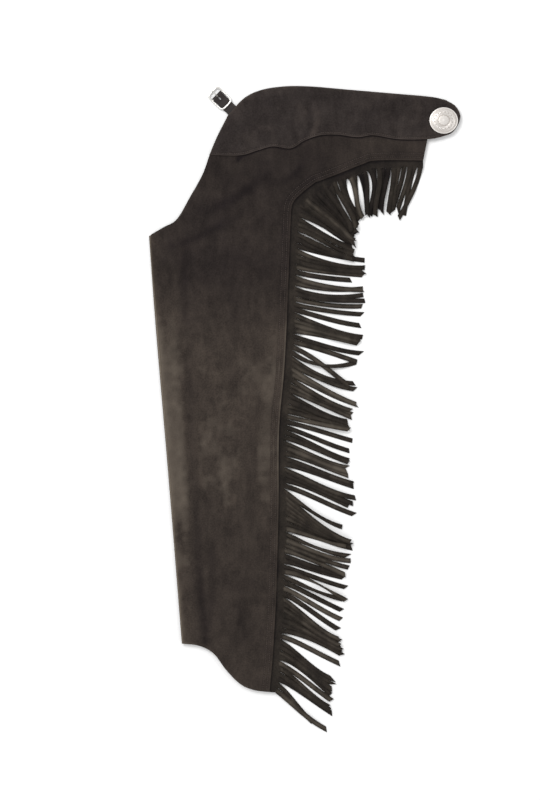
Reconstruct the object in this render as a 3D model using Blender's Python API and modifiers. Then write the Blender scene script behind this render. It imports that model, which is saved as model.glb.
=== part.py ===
"""Fringed suede chaps, folded in half at the centre back and laid flat with the left leg on top.

Every piece of leather is a thin wall on one shared height: the hidden second leg is a low rounded
solid, and the pieces above it follow its top. Metres, +Z up, the waist toward +Y, the outer seam
and its fringe toward +X. The origin is at the middle of the footprint, on the surface below.
"""

import math

import bpy
import numpy as np

MM = 0.001

# Thicknesses of the leather and the gap between pieces that lie on each other.
LEG_SKIN = 1.5 * MM
YOKE_SKIN = 1.6 * MM
FRINGE_SKIN = 1.2 * MM
STRAP_SKIN = 1.3 * MM
GAP = 0.3 * MM

# The leg's inner fold, from the hem up to the crotch corner (columns: x mm, y mm).
INNER_FOLD = ((-220.5, -422), (-244, -129), (-267, 141), (-279.5, 310))
# The front edge, from the crotch corner up to the yoke's lower seam (columns: x mm, y mm).
FRONT_EDGE = ((-279.5, 310), (-252, 326), (-229, 340), (-205, 381), (-183, 421), (-171, 455))
# The front edge of the yoke, on up to the strap (columns: x mm, y mm).
YOKE_FRONT = ((-171, 455), (-157, 488), (-138, 526))
# The yoke's top, from the strap to the concho end (columns: x mm, y mm).
YOKE_TOP = (
    (-138, 526), (-109, 557), (-78, 572), (-37, 578.5), (10, 578.5), (75, 573), (157, 566), (225, 560), (254, 554),
)
# The round end of the yoke at the centre back, from its underside up (columns: x mm, y mm).
YOKE_TIP = ((244, 487), (267, 497), (279.5, 522), (272, 542), (254, 554))
# The yoke's lower seam, scalloped, from the front edge to the centre back (columns: x mm, y mm).
YOKE_SEAM = (
    (-171, 455), (-116, 454.5), (-85, 463), (-57, 470.5), (-25, 467), (0, 481), (28, 490.5),
    (60, 491.5), (95, 487), (124, 490.5), (168, 483.5), (221, 483.5), (244, 487),
)
# The leg's outer edge, from the hem up to the hip corner (columns: x mm, y mm).
OUTER_EDGE = ((-63, -509), (-57, -440), (-51, -332), (-47, -177), (-46, -40), (-37, 66), (-32, 160), (-25.5, 328))
# The bend from the outer edge into the hip tail (columns: x mm, y mm).
HIP_CORNER = ((-25.5, 328), (-22, 366), (-6, 386), (19, 406))
# The hip tail's lower edge, on back to the centre back (columns: x mm, y mm).
HIP_EDGE = ((19, 406), (53, 418.5), (102, 438), (130, 445.5), (213, 445.5))
# The hip tail's short back edge, up to the yoke (columns: x mm, y mm).
TAIL_EDGE = ((213, 445.5), (221, 478))
# The hem, which drops in a soft S toward the outer seam (columns: x mm, y mm).
HEM = ((-220.5, -422), (-189, -426), (-163, -440), (-141, -469), (-116, -494), (-92, -505), (-63, -509))

# Rows of cells from the hem: up to the crotch, round the hip's corner, back along the tail.
LEG_ROWS = 18
CORNER_ROWS = 6
TAIL_ROWS = 10
# Distances from an edge at which a panel's grid has a line.
EDGE_LINES = (5 * MM, 15 * MM)
MIDDLE_COLUMNS = 5
YOKE_COLUMNS = 26
YOKE_MIDDLE_ROWS = 3

# The hidden second leg, as outlines stacked one on another: its folded leather shows as two rolls at
# the edge, and it rounds up to a flat middle (columns: inset from the top leg's outline mm, height mm).
SECOND_LEG_SECTIONS = (
    (2.9, 0.0), (2.1, 0.5), (2.1, 1.2), (2.9, 1.6), (2.2, 2.0), (2.2, 2.8), (3.2, 3.4), (6.0, 3.9), (12.0, 4.2),
)
# How the second leg draws back from the outline where the strap comes out.
STRAP_JOINT = (-129.0 * MM, 538.0 * MM)
STRAP_NOTCH_DEPTH = 24 * MM
STRAP_NOTCH_REACH = 50 * MM

# Heights over the second leg. The leg's front face is highest below the crotch, over its back face.
PILE_TOP = SECOND_LEG_SECTIONS[-1][1] * MM
CROWN = 1.9 * MM
CROWN_STARTS = 15 * MM
CROWN_REACH = 60 * MM
CROTCH_BLEND = 90 * MM
CROTCH_SLOPE = 0.14
LEG_LAP = 14 * MM
LAP_START_X = -165.0 * MM
LAP_END_X = 223.5 * MM
LAP_END = 25 * MM
LAP_FALL = 36 * MM
YOKE_REST = 1.2 * MM

# Fringe: how far its header runs in under the leg, and where it comes down to the surface.
HEADER_INSIDE = 12 * MM
HEADER_OUTSIDE = 4 * MM
FRINGE_LANDS = 34 * MM
# Reach of the leg fringe (columns: y mm of the root on the outer edge, x mm and y mm of the tip).
LEG_REACH = (
    (-503, 40, -576), (-440, 60, -487), (-330, 72, -372), (-180, 88, -225), (-60, 90, -100), (60, 90, 12),
    (180, 104, 140), (270, 104, 222), (345, 88, 290),
)
# Reach of the hip fringe (columns: x mm and y mm of the root on the edge, x mm and y mm of the tip).
HIP_REACH = (
    (-23.5, 351, 88, 293), (-18, 374, 87, 302), (-3, 389, 88, 311), (19, 406, 93, 322), (53, 418.5, 104, 336),
    (102, 438, 118, 347), (130, 445.5, 139, 354), (172, 445.5, 158, 353), (212, 445.5, 175, 343),
)

# Buckle: its own axes are +X outward along the strap, +Y along the centre bar, +Z up.
BAR_PLACE = (-156.9 * MM, 562.0 * MM, 3.6 * MM)
STRAP_TURN = math.radians(136.0)
BAR_RADIUS = 1.3 * MM
RAIL_RADIUS = 1.4 * MM
FRAME_OUTER = 11.1 * MM
FRAME_INNER = -23.6 * MM
FRAME_HALF_WIDTH = 12.4 * MM
FRAME_CORNER = 6.0 * MM
FRAME_ARCH = 1.8 * MM
STRAP_WIDTH = 21.0 * MM
STRAP_END = -51.0 * MM
STRAP_CLOSES = -13.0 * MM
SLOT_LENGTH = 9.0 * MM
SLOT_WIDTH = 3.4 * MM
PRONG_RADIUS = 0.95 * MM
PRONG_TIP = 13.4 * MM

# Concho: an oval domed disc, turned from its profile.
CONCHO_PLACE = (249.6 * MM, 516.6 * MM)
CONCHO_RADIUS = 25.5 * MM
CONCHO_OVAL = 0.925
CONCHO_DOME = 3.2 * MM
CONCHO_WALL = 1.4 * MM

SUEDE = (0.042, 0.033, 0.028, 1.0)
SUEDE_DARK = (0.034, 0.027, 0.024, 1.0)
SUEDE_FRINGE = (0.037, 0.033, 0.027, 1.0)
NICKEL = (0.62, 0.61, 0.60, 1.0)


def material(name, colour, roughness, metallic):
    """A Principled material with one colour."""
    made = bpy.data.materials.new(name)
    made.use_nodes = True
    shader = made.node_tree.nodes["Principled BSDF"]
    shader.inputs["Base Color"].default_value = colour
    shader.inputs["Roughness"].default_value = roughness
    shader.inputs["Metallic"].default_value = metallic
    return made


def smooth_curve(table, cells, dense=24):
    """Points evenly spaced along a Catmull-Rom curve through the rows of a table in millimetres."""
    knots = np.asarray(table, dtype=float) * MM
    before = 2 * knots[0] - knots[1]
    after = 2 * knots[-1] - knots[-2]
    padded = np.vstack([before, knots, after])
    t = np.linspace(0, 1, dense, endpoint=False)[:, None]
    pieces = []
    for p0, p1, p2, p3 in zip(padded, padded[1:], padded[2:], padded[3:]):
        pieces.append(
            0.5 * (2 * p1 + (p2 - p0) * t + (2 * p0 - 5 * p1 + 4 * p2 - p3) * t**2 + (3 * p1 - p0 - 3 * p2 + p3) * t**3)
        )
    curve = np.vstack([*pieces, knots[-1:]])
    return at_fractions(curve, np.linspace(0, 1, cells + 1))


def at_fractions(curve, fractions):
    """Points at the given fractions of a polyline's length."""
    steps = np.linalg.norm(np.diff(curve, axis=0), axis=1)
    length = np.concatenate([[0], np.cumsum(steps)])
    return np.stack([np.interp(fractions * length[-1], length, curve[:, k]) for k in range(curve.shape[1])], axis=1)


def silhouette():
    """The outline of everything but the fringe and the strap, anticlockwise."""
    runs = [
        smooth_curve(HEM, 14),
        smooth_curve(OUTER_EDGE, 22),
        smooth_curve(HIP_CORNER, 6),
        smooth_curve(HIP_EDGE, 10),
        smooth_curve(TAIL_EDGE, 2),
        smooth_curve(YOKE_SEAM[-2:], 2),
        smooth_curve(YOKE_TIP, 10),
        smooth_curve(YOKE_TOP, 20)[::-1],
        smooth_curve(YOKE_FRONT, 4)[::-1],
        smooth_curve(FRONT_EDGE, 10)[::-1],
        smooth_curve(INNER_FOLD, 20)[::-1],
    ]
    points = np.vstack([run[:-1] for run in runs])
    apart = np.linalg.norm(points - np.roll(points, 1, axis=0), axis=1) > 0.5 * MM
    return points[apart]


OUTLINE = silhouette()


def edge_distance(points):
    """Distance of each point, shape (..., 2), from the silhouette."""
    flat = points.reshape(-1, 1, 2)
    start = OUTLINE[None]
    run = np.roll(OUTLINE, -1, axis=0)[None] - start
    along = np.clip(((flat - start) * run).sum(-1) / (run**2).sum(-1), 0, 1)
    nearest = start + run * along[..., None]
    return np.linalg.norm(flat - nearest, axis=-1).min(axis=1).reshape(points.shape[:-1])


def eased(t):
    """0 to 1 with no slope at either end."""
    t = np.clip(t, 0, 1)
    return t * t * (3 - 2 * t)


def below_crotch(points):
    """1 where the leg's back face lies beneath, falling to 0 above the crotch."""
    corner_x, corner_y = np.array(INNER_FOLD[-1]) * MM
    over = points[..., 1] - corner_y - CROTCH_SLOPE * (points[..., 0] - corner_x)
    return eased(1 - over / CROTCH_BLEND)


def front_height(points):
    """Underside of the leg's front face: over the fringe's header, and over the back face too below the crotch."""
    over_header = GAP + FRINGE_SKIN + GAP
    over_back = LEG_SKIN + GAP + CROWN * eased((edge_distance(points) - CROWN_STARTS) / CROWN_REACH)
    return PILE_TOP + over_header + over_back * below_crotch(points)


def header_height(points):
    """Middle of the fringe's header, just under the front face."""
    return front_height(points) - GAP - FRINGE_SKIN / 2


def seam_y(x):
    """Where the yoke's lower seam is at x."""
    seam = smooth_curve(YOKE_SEAM, 60)
    return np.interp(x, seam[:, 0], seam[:, 1])


def yoke_height(points):
    """Underside of the yoke: over the leg's lap at the seam, then down onto the second leg."""
    above = points[..., 1] - seam_y(points[..., 0])
    on_leg = GAP + FRINGE_SKIN + GAP + LEG_SKIN + 2 * GAP
    return PILE_TOP + on_leg + (YOKE_REST - on_leg) * eased((above - LAP_END) / LAP_FALL)


def edge_fractions(length, cells):
    """Fractions of a length with lines at EDGE_LINES from both ends and even cells between."""
    near = np.array([0, *EDGE_LINES]) / length
    middle = np.linspace(near[-1], 1 - near[-1], cells + 1)[1:-1]
    return np.concatenate([near, middle, 1 - near[::-1]])


def coons(bottom, top, left, right):
    """Surface between four edges: left and right by rows, bottom and top by columns, shape (rows, columns, 2).

    It is the blend of left to right, plus the blend of bottom to top, less the blend of the corners.
    """
    u = np.linspace(0, 1, len(bottom))[None, :, None]
    v = np.linspace(0, 1, len(left))[:, None, None]
    across = left[:, None] * (1 - u) + right[:, None] * u
    along = bottom[None] * (1 - v) + top[None] * v
    low = bottom[0] * (1 - u) + bottom[-1] * u
    high = top[0] * (1 - u) + top[-1] * u
    return across + along - (low * (1 - v) + high * v)


def respace(rows):
    """Moves each row's points along it, so that lines keep to EDGE_LINES from both of its ends."""
    out = []
    for row in rows:
        length = np.linalg.norm(np.diff(row, axis=0), axis=1).sum()
        out.append(at_fractions(row, edge_fractions(length, MIDDLE_COLUMNS)))
    return np.array(out)


def lifted(points, heights):
    """Plan points with their heights."""
    return np.concatenate([points, heights[..., None]], axis=-1)


def grid_faces(rows, columns, first=0):
    """Quads of a grid whose points run along its rows."""
    index = first + np.arange(rows * columns).reshape(rows, columns)
    quads = np.stack([index[:-1, :-1], index[:-1, 1:], index[1:, 1:], index[1:, :-1]], axis=-1)
    return quads.reshape(-1, 4).tolist()


def add_object(name, points, faces, finish, collection):
    """A mesh object made from points and faces."""
    mesh = bpy.data.meshes.new(name)
    mesh.from_pydata(np.asarray(points).reshape(-1, 3).tolist(), [], faces)
    mesh.materials.append(finish)
    made = bpy.data.objects.new(name, mesh)
    collection.objects.link(made)
    return made


def thicken(obj, thickness, offset=0.0):
    """Gives an open surface its thickness. Offset 0 keeps it in the middle, 1 below the wall."""
    solidify = obj.modifiers.new("Thickness", "SOLIDIFY")
    solidify.thickness = thickness
    solidify.offset = offset
    solidify.use_even_offset = True
    solidify.use_rim = True


def inset_ring(inset):
    """The silhouette moved in by a distance, mitred, drawn back where the strap comes out."""
    before = OUTLINE - np.roll(OUTLINE, 1, axis=0)
    after = np.roll(OUTLINE, -1, axis=0) - OUTLINE
    before /= np.linalg.norm(before, axis=1, keepdims=True)
    after /= np.linalg.norm(after, axis=1, keepdims=True)
    inward_before = np.stack([-before[:, 1], before[:, 0]], axis=1)
    inward_after = np.stack([-after[:, 1], after[:, 0]], axis=1)
    mitre = inward_before + inward_after
    mitre /= (mitre * inward_after).sum(axis=1, keepdims=True)
    near = 1 - np.linalg.norm(OUTLINE - np.array(STRAP_JOINT), axis=1) / STRAP_NOTCH_REACH
    return OUTLINE + mitre * (inset + STRAP_NOTCH_DEPTH * eased(near)[:, None])


def build_second_leg(finish, collection):
    """The hidden leg and half yoke: stacked outlines, closed flat below and above."""
    rings = [lifted(ring, np.full(len(ring), height * MM)) for ring, height in
             ((inset_ring(inset * MM), height) for inset, height in SECOND_LEG_SECTIONS)]
    count = len(OUTLINE)
    faces = [list(range(count))[::-1]]
    for level in range(len(rings) - 1):
        low = level * count
        for k in range(count):
            following = (k + 1) % count
            faces.append([low + k, low + following, low + count + following, low + count + k])
    faces.append(list(range((len(rings) - 1) * count, len(rings) * count)))
    add_object("second_leg", np.vstack(rings), faces, finish, collection)


def leg_rows():
    """Plan grid of the leg's front face. Its rows run from the inner side of the bend, the fold, the front
    edge and the lap under the yoke, to the outer side, the outer edge and the hip tail's lower edge."""
    fold = smooth_curve(INNER_FOLD, LEG_ROWS)
    front = smooth_curve(FRONT_EDGE, CORNER_ROWS)[1:]
    lap_x = np.linspace(LAP_START_X, LAP_END_X, TAIL_ROWS + 1)
    lap = np.stack([lap_x, seam_y(lap_x) + LEG_LAP], axis=1)
    front[-1] = lap[0]
    left = np.vstack([fold, front, lap[1:]])
    corner = smooth_curve(HIP_CORNER, CORNER_ROWS)[1:]
    tail = smooth_curve(HIP_EDGE, TAIL_ROWS)[1:]
    right = np.vstack([smooth_curve(OUTER_EDGE, LEG_ROWS), corner, tail])
    columns = 60
    bottom = smooth_curve(HEM, columns)
    top = left[-1] + (right[-1] - left[-1]) * np.linspace(0, 1, columns + 1)[:, None]
    return respace(coons(bottom, top, left, right))


def build_leg_panel(finish, collection):
    """One hide: front face, roll at the inner fold and back face, as an open surface with thickness."""
    plan = leg_rows()
    rows, columns = plan.shape[:2]
    folded = LEG_ROWS + 1
    front = lifted(plan, front_height(plan) + LEG_SKIN / 2)
    back_plan = plan[:folded].copy()
    back_plan[:, -1] += (back_plan[:, -2] - back_plan[:, -1]) * 0.3
    back = lifted(back_plan, np.full(back_plan.shape[:2], PILE_TOP + GAP + LEG_SKIN / 2))
    radius = (front[:folded, 0, 2] - back[:, 0, 2]) / 2
    inward = plan[:folded, 1] - plan[:folded, 0]
    inward /= np.linalg.norm(inward, axis=1, keepdims=True)
    centre = plan[:folded, 0] + inward * (radius + LEG_SKIN / 2)[:, None]
    front[:folded, 0, :2] = centre
    back[:, 0, :2] = centre
    roll = []
    for angle in np.radians([50, 15, -15, -50]):
        out = centre - inward * (radius * math.cos(angle))[:, None]
        roll.append(lifted(out, back[:, 0, 2] + radius * (1 + math.sin(angle))))
    lower = np.stack([*roll, *(back[:, k] for k in range(columns))], axis=1)
    points = np.vstack([front.reshape(-1, 3), lower.reshape(-1, 3)])
    faces = grid_faces(rows, columns)
    first = rows * columns
    width = lower.shape[1]
    lower_faces = [quad[::-1] for quad in grid_faces(folded, width, first)]
    for row in range(folded - 1):
        lower_faces.append([first + row * width, row * columns, (row + 1) * columns, first + (row + 1) * width])
    faces += lower_faces
    obj = add_object("leg_panel", points, faces, finish, collection)
    thicken(obj, LEG_SKIN)


def build_yoke(finish, collection):
    """The waist piece, from its lower seam to its top edge and round end."""
    bottom = smooth_curve(YOKE_SEAM, YOKE_COLUMNS)
    top = smooth_curve(YOKE_TOP, YOKE_COLUMNS)
    left = smooth_curve(YOKE_FRONT, 40)
    right = smooth_curve(YOKE_TIP, 40)
    plan = coons(bottom, top, left, right)
    out = []
    for column in plan.transpose(1, 0, 2):
        length = np.linalg.norm(np.diff(column, axis=0), axis=1).sum()
        out.append(at_fractions(column, edge_fractions(length, YOKE_MIDDLE_ROWS)))
    plan = np.array(out).transpose(1, 0, 2)
    surface = lifted(plan, yoke_height(plan))
    obj = add_object("yoke", surface, grid_faces(*plan.shape[:2]), finish, collection)
    thicken(obj, YOKE_SKIN, offset=1.0)


def fringe_surface(roots, tips):
    """Middle of a fringe's reach: header under the leg, down off the edge, then flat to the tips."""
    direction = tips - roots
    reach = np.linalg.norm(direction, axis=1, keepdims=True)
    direction = direction / reach
    stations = (-HEADER_INSIDE, -HEADER_INSIDE / 2, 0, HEADER_OUTSIDE, (HEADER_OUTSIDE + FRINGE_LANDS) / 2)
    lines = []
    at_edge = header_height(roots)
    floor = FRINGE_SKIN / 2
    for along in stations:
        place = roots + direction * along
        if along < 0:
            height = header_height(place)
        elif along <= HEADER_OUTSIDE:
            height = at_edge
        else:
            height = (at_edge + floor) / 2
        lines.append(lifted(place, height))
    for share in (0.0, 0.5, 1.0):
        place = roots + direction * (FRINGE_LANDS + (reach - FRINGE_LANDS) * share)
        lines.append(lifted(place, np.full(len(place), floor)))
    return np.stack(lines, axis=1)


def build_fringe(name, roots, tips, finish, collection):
    """The plain reach of one run of fringe."""
    surface = fringe_surface(roots, tips)
    faces = [quad[::-1] for quad in grid_faces(*surface.shape[:2])]
    obj = add_object(name, surface, faces, finish, collection)
    thicken(obj, FRINGE_SKIN)


def on_outer_edge(y):
    """Points of the leg's outer edge at heights y along it."""
    edge = smooth_curve(OUTER_EDGE, 80)
    return np.stack([np.interp(y, edge[:, 1], edge[:, 0]), y], axis=1)


def build_fringes(finish, collection):
    """The leg's run and the hip's run, which meet at the hip corner."""
    leg = smooth_curve(LEG_REACH, 20)
    build_fringe("leg_fringe", on_outer_edge(leg[:, 0]), leg[:, 1:], finish, collection)
    hip = smooth_curve(HIP_REACH, 16)
    build_fringe("hip_fringe", hip[:, :2], hip[:, 2:], finish, collection)


def place_on_buckle(obj):
    """Turns an object to the buckle's axes, with its origin on the centre bar."""
    obj.location = BAR_PLACE
    obj.rotation_euler = (0, 0, STRAP_TURN)


def build_strap(finish, collection):
    """The strap, doubled round the bar, with a slot for the prong in the fold."""
    loop = BAR_RADIUS + 0.35 * MM + STRAP_SKIN / 2
    low = -BAR_PLACE[2] + 0.25 * MM + STRAP_SKIN / 2
    high = low + STRAP_SKIN + 2 * GAP
    top_run = [(x, high) for x in np.linspace(STRAP_END, STRAP_CLOSES, 4)]
    top_run += [(-SLOT_LENGTH, high + (loop - high) * 0.45), (-4 * MM, high + (loop - high) * 0.9)]
    arc = [(loop * math.sin(a), loop * math.cos(a)) for a in np.radians(np.linspace(0, 180, 9))]
    bottom_run = [(-4 * MM, -loop), (-SLOT_LENGTH, low), (STRAP_CLOSES, low), (STRAP_END, low)]
    profile = np.array(top_run + arc + bottom_run)
    across = np.array([-STRAP_WIDTH / 2, -SLOT_WIDTH / 2, SLOT_WIDTH / 2, STRAP_WIDTH / 2])
    points = np.array([[(x, y, z) for y in across] for x, z in profile])
    slot_start = len(top_run) - 2
    slot_end = len(top_run) + len(arc) + 1
    faces = []
    for row in range(len(profile) - 1):
        for column in range(3):
            if column == 1 and slot_start <= row < slot_end:
                continue
            k = row * 4 + column
            faces.append([k, k + 4, k + 5, k + 1])
    obj = add_object("buckle_strap", points, faces, finish, collection)
    thicken(obj, STRAP_SKIN)
    place_on_buckle(obj)


def frame_path():
    """Closed centre line of the frame: a rounded rectangle, arched up toward its inner end."""
    half = FRAME_HALF_WIDTH
    corners = (
        (FRAME_OUTER - FRAME_CORNER, half - FRAME_CORNER, 0),
        (FRAME_INNER + FRAME_CORNER, half - FRAME_CORNER, 90),
        (FRAME_INNER + FRAME_CORNER, FRAME_CORNER - half, 180),
        (FRAME_OUTER - FRAME_CORNER, FRAME_CORNER - half, 270),
    )
    path = []
    for x, y, start in corners:
        for angle in np.radians(start + np.linspace(0, 90, 6)):
            path.append((x + FRAME_CORNER * math.cos(angle), y + FRAME_CORNER * math.sin(angle)))
    plan = np.array(path)
    arch = FRAME_ARCH * np.clip(plan[:, 0] / FRAME_INNER, 0, 1)
    return lifted(plan, arch)


def wire(name, path, radius, closed, sides, collection):
    """A round wire along a path, as a mesh object."""
    curve = bpy.data.curves.new(name, "CURVE")
    curve.dimensions = "3D"
    curve.bevel_depth = radius
    curve.bevel_resolution = sides
    curve.use_fill_caps = True
    spline = curve.splines.new("POLY")
    spline.points.add(len(path) - 1)
    for point, place in zip(spline.points, path):
        point.co = (*place, 1)
    spline.use_cyclic_u = closed
    guide = bpy.data.objects.new(name + "_path", curve)
    collection.objects.link(guide)
    graph = bpy.context.evaluated_depsgraph_get()
    mesh = bpy.data.meshes.new_from_object(guide.evaluated_get(graph))
    bpy.data.objects.remove(guide)
    bpy.data.curves.remove(curve)
    mesh.name = name
    made = bpy.data.objects.new(name, mesh)
    collection.objects.link(made)
    weld = made.modifiers.new("Caps", "WELD")
    weld.merge_threshold = 0.00001
    return made


def build_frame(finish, collection, cutters):
    """The frame with its centre bar, joined into one casting that turns on the bar."""
    frame = wire("buckle_frame", frame_path(), RAIL_RADIUS, True, 3, collection)
    frame.data.materials.append(finish)
    frame.data.shade_smooth()
    half = FRAME_HALF_WIDTH
    bar = wire("centre_bar", [(0, -half, 0), (0, half, 0)], BAR_RADIUS, False, 3, cutters)
    bar.hide_render = True
    bar.display_type = "WIRE"
    place_on_buckle(frame)
    place_on_buckle(bar)
    join = frame.modifiers.new("Bar", "BOOLEAN")
    join.operation = "UNION"
    join.object = bar


def build_prong(finish, collection):
    """The prong: a wire hooked round the bar, then out to rest on the frame's outer end."""
    ring = BAR_RADIUS + GAP + PRONG_RADIUS
    hook = [(ring * math.cos(a), ring * math.sin(a)) for a in np.radians(np.linspace(325, 90, 12))]
    rest = RAIL_RADIUS + GAP + PRONG_RADIUS
    shank = [(4 * MM, ring), (FRAME_OUTER - 2 * MM, rest), (PRONG_TIP, rest)]
    path = [(x, 0, z) for x, z in hook + shank]
    prong = wire("buckle_prong", path, PRONG_RADIUS, False, 2, collection)
    prong.data.materials.append(finish)
    prong.data.shade_smooth()
    place_on_buckle(prong)


def build_concho(finish, collection):
    """The concho: a domed disc with a rolled rim, hollow beneath, turned and then made oval."""
    rim = CONCHO_RADIUS
    dome = [(rim * math.sin(a), CONCHO_DOME * math.cos(a)) for a in np.radians(np.linspace(80, 8, 7))]
    outer = [(rim, 0.4 * MM), (rim, 1.2 * MM), (rim - 0.5 * MM, 1.7 * MM), (rim - 1.5 * MM, 1.7 * MM)]
    outer += [(r * 0.93, CONCHO_WALL + z) for r, z in dome] + [(0, CONCHO_WALL + CONCHO_DOME)]
    inner = [(0, CONCHO_DOME)] + [(r * 0.93, z) for r, z in dome[::-1]] + [(rim - 0.5 * MM, 0)]
    profile = (inner + outer)[::-1]
    points = [(x, 0, z) for x, z in profile]
    edges = [(k, k + 1) for k in range(len(points) - 1)]
    mesh = bpy.data.meshes.new("concho")
    mesh.from_pydata(points, edges, [])
    mesh.materials.append(finish)
    concho = bpy.data.objects.new("concho", mesh)
    collection.objects.link(concho)
    turn = concho.modifiers.new("Turn", "SCREW")
    turn.steps = 40
    turn.render_steps = 40
    turn.use_merge_vertices = True
    turn.merge_threshold = 0.00001
    turn.use_normal_calculate = True
    centre = np.array(CONCHO_PLACE)
    ring = centre + CONCHO_RADIUS * np.stack(
        [np.cos(np.linspace(0, 2 * math.pi, 25)), CONCHO_OVAL * np.sin(np.linspace(0, 2 * math.pi, 25))], axis=1
    )
    seat = max(yoke_height(ring).max(), yoke_height(centre[None])[0] - CONCHO_DOME * 0.9)
    concho.location = (*CONCHO_PLACE, seat + YOKE_SKIN + GAP)
    concho.scale = (1, CONCHO_OVAL, 1)


def main():
    """Builds the chaps."""
    for old in list(bpy.data.objects):
        bpy.data.objects.remove(old)
    chaps = bpy.data.collections.new("leather_chaps")
    cutters = bpy.data.collections.new("cutters")
    bpy.context.scene.collection.children.link(chaps)
    bpy.context.scene.collection.children.link(cutters)
    suede = material("brown_suede", SUEDE, 0.95, 0.0)
    yoke_suede = material("dark_brown_suede", SUEDE_DARK, 0.95, 0.0)
    fringe_suede = material("fringe_suede", SUEDE_FRINGE, 0.95, 0.0)
    strap_leather = material("strap_leather", SUEDE_DARK, 0.8, 0.0)
    nickel = material("nickel_plate", NICKEL, 0.25, 1.0)
    build_second_leg(suede, chaps)
    build_leg_panel(suede, chaps)
    build_yoke(yoke_suede, chaps)
    build_fringes(fringe_suede, chaps)
    build_strap(strap_leather, chaps)
    build_frame(nickel, chaps, cutters)
    build_prong(nickel, chaps)
    build_concho(nickel, chaps)


main()
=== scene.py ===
"""Looks of a pair of fringed suede chaps, folded at the centre back and laid flat, left leg on top.

Every piece is a surface worked out as whole numpy arrays on one shared height field: the hidden second
leg lies on the floor, the leg's back face on that, then the fringe's header, the front face, the yoke and
its concho. Metres, +Z up, the waist toward +Y and the fringe toward +X.
"""

import logging
import math
from dataclasses import dataclass
from enum import Enum
from typing import Sequence

import bpy
import numpy as np
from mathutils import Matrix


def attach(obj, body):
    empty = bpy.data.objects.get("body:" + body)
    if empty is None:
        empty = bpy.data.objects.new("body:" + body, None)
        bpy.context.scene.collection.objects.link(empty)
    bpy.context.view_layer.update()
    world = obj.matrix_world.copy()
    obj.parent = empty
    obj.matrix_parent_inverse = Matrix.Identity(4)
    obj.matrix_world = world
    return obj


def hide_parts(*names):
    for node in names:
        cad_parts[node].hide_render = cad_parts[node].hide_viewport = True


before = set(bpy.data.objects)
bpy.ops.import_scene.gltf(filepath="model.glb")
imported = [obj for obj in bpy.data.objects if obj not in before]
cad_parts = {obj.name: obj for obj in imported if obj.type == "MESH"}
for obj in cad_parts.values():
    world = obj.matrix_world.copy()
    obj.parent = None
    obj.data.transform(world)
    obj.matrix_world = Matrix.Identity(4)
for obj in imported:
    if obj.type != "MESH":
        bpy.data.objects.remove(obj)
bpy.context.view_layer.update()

LOG = logging.getLogger("leather_chaps")
MM = 0.001
Table = Sequence[Sequence[float]]

# Thicknesses of the leather and the gap between pieces that lie on each other.
LEG_SKIN = 1.5 * MM
YOKE_SKIN = 1.6 * MM
FRINGE_SKIN = 1.2 * MM
STRAP_SKIN = 1.3 * MM
GAP = 0.3 * MM

# Outlines, as smooth curves through a few points (columns: x mm, y mm).
INNER_FOLD = ((-220.5, -422), (-244, -129), (-267, 141), (-279.5, 310))
FRONT_EDGE = ((-279.5, 310), (-252, 326), (-229, 340), (-205, 381), (-183, 421), (-171, 455))
YOKE_FRONT = ((-171, 455), (-157, 488), (-138, 526))
YOKE_TOP = (
    (-138, 526), (-109, 557), (-78, 572), (-37, 578.5), (10, 578.5), (75, 573), (157, 566), (225, 560),
    (254, 554),
)
YOKE_TIP = ((244, 487), (267, 497), (279.5, 522), (272, 542), (254, 554))
YOKE_SEAM = (
    (-171, 455), (-116, 454.5), (-85, 463), (-57, 470.5), (-25, 467), (0, 481), (28, 490.5),
    (60, 491.5), (95, 487), (124, 490.5), (168, 483.5), (221, 483.5), (244, 487),
)
OUTER_EDGE = ((-63, -509), (-57, -440), (-51, -332), (-47, -177), (-46, -40), (-37, 66), (-32, 160),
              (-25.5, 328))
HIP_CORNER = ((-25.5, 328), (-22, 366), (-6, 386), (19, 406))
HIP_EDGE = ((19, 406), (53, 418.5), (102, 438), (130, 445.5), (213, 445.5))
TAIL_EDGE = ((213, 445.5), (221, 478))
HEM = ((-220.5, -422), (-189, -426), (-163, -440), (-141, -469), (-116, -494), (-92, -505), (-63, -509))

# Heights of the pile, as the solids have them.
PILE_TOP = 4.2 * MM
CROWN = 1.9 * MM
CROWN_STARTS = 15 * MM
CROWN_REACH = 60 * MM
CROTCH_BLEND = 90 * MM
CROTCH_SLOPE = 0.14
LEG_LAP = 14 * MM
LAP_START_X = -165 * MM
LAP_END_X = 223.5 * MM
LAP_END = 25 * MM
LAP_FALL = 36 * MM
YOKE_REST = 1.2 * MM


class Body(Enum):
    """The rigid bodies that pieces ride on."""

    CHAPS = "chaps"
    BUCKLE = "buckle"
    PRONG = "prong"


class Slot(Enum):
    """The record's material slots."""

    LEG = "leg_suede"
    YOKE = "yoke_suede"
    FRINGE = "fringe_suede"
    STRAP = "strap_leather"
    NICKEL = "buckle_nickel"
    SILVER = "concho_silver"


def eased(t: np.ndarray) -> np.ndarray:
    """0 to 1 with no slope at either end: t squared times (3 less 2 t), t held between 0 and 1."""
    t = np.clip(t, 0, 1)
    return t * t * (3 - 2 * t)


def at_fractions(curve: np.ndarray, fractions: np.ndarray) -> np.ndarray:
    """Points at fractions of a polyline's length.

    Args:
        curve: points along the line, shape (n, k).
        fractions: shares of its length, from 0 to 1.

    Returns:
        One point for each fraction, interpolated straight between the line's points.
    """
    steps = np.linalg.norm(np.diff(curve, axis=0), axis=1)
    length = np.concatenate([[0], np.cumsum(steps)])
    wanted = np.asarray(fractions) * length[-1]
    return np.stack([np.interp(wanted, length, curve[:, k]) for k in range(curve.shape[1])], axis=-1)


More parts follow.
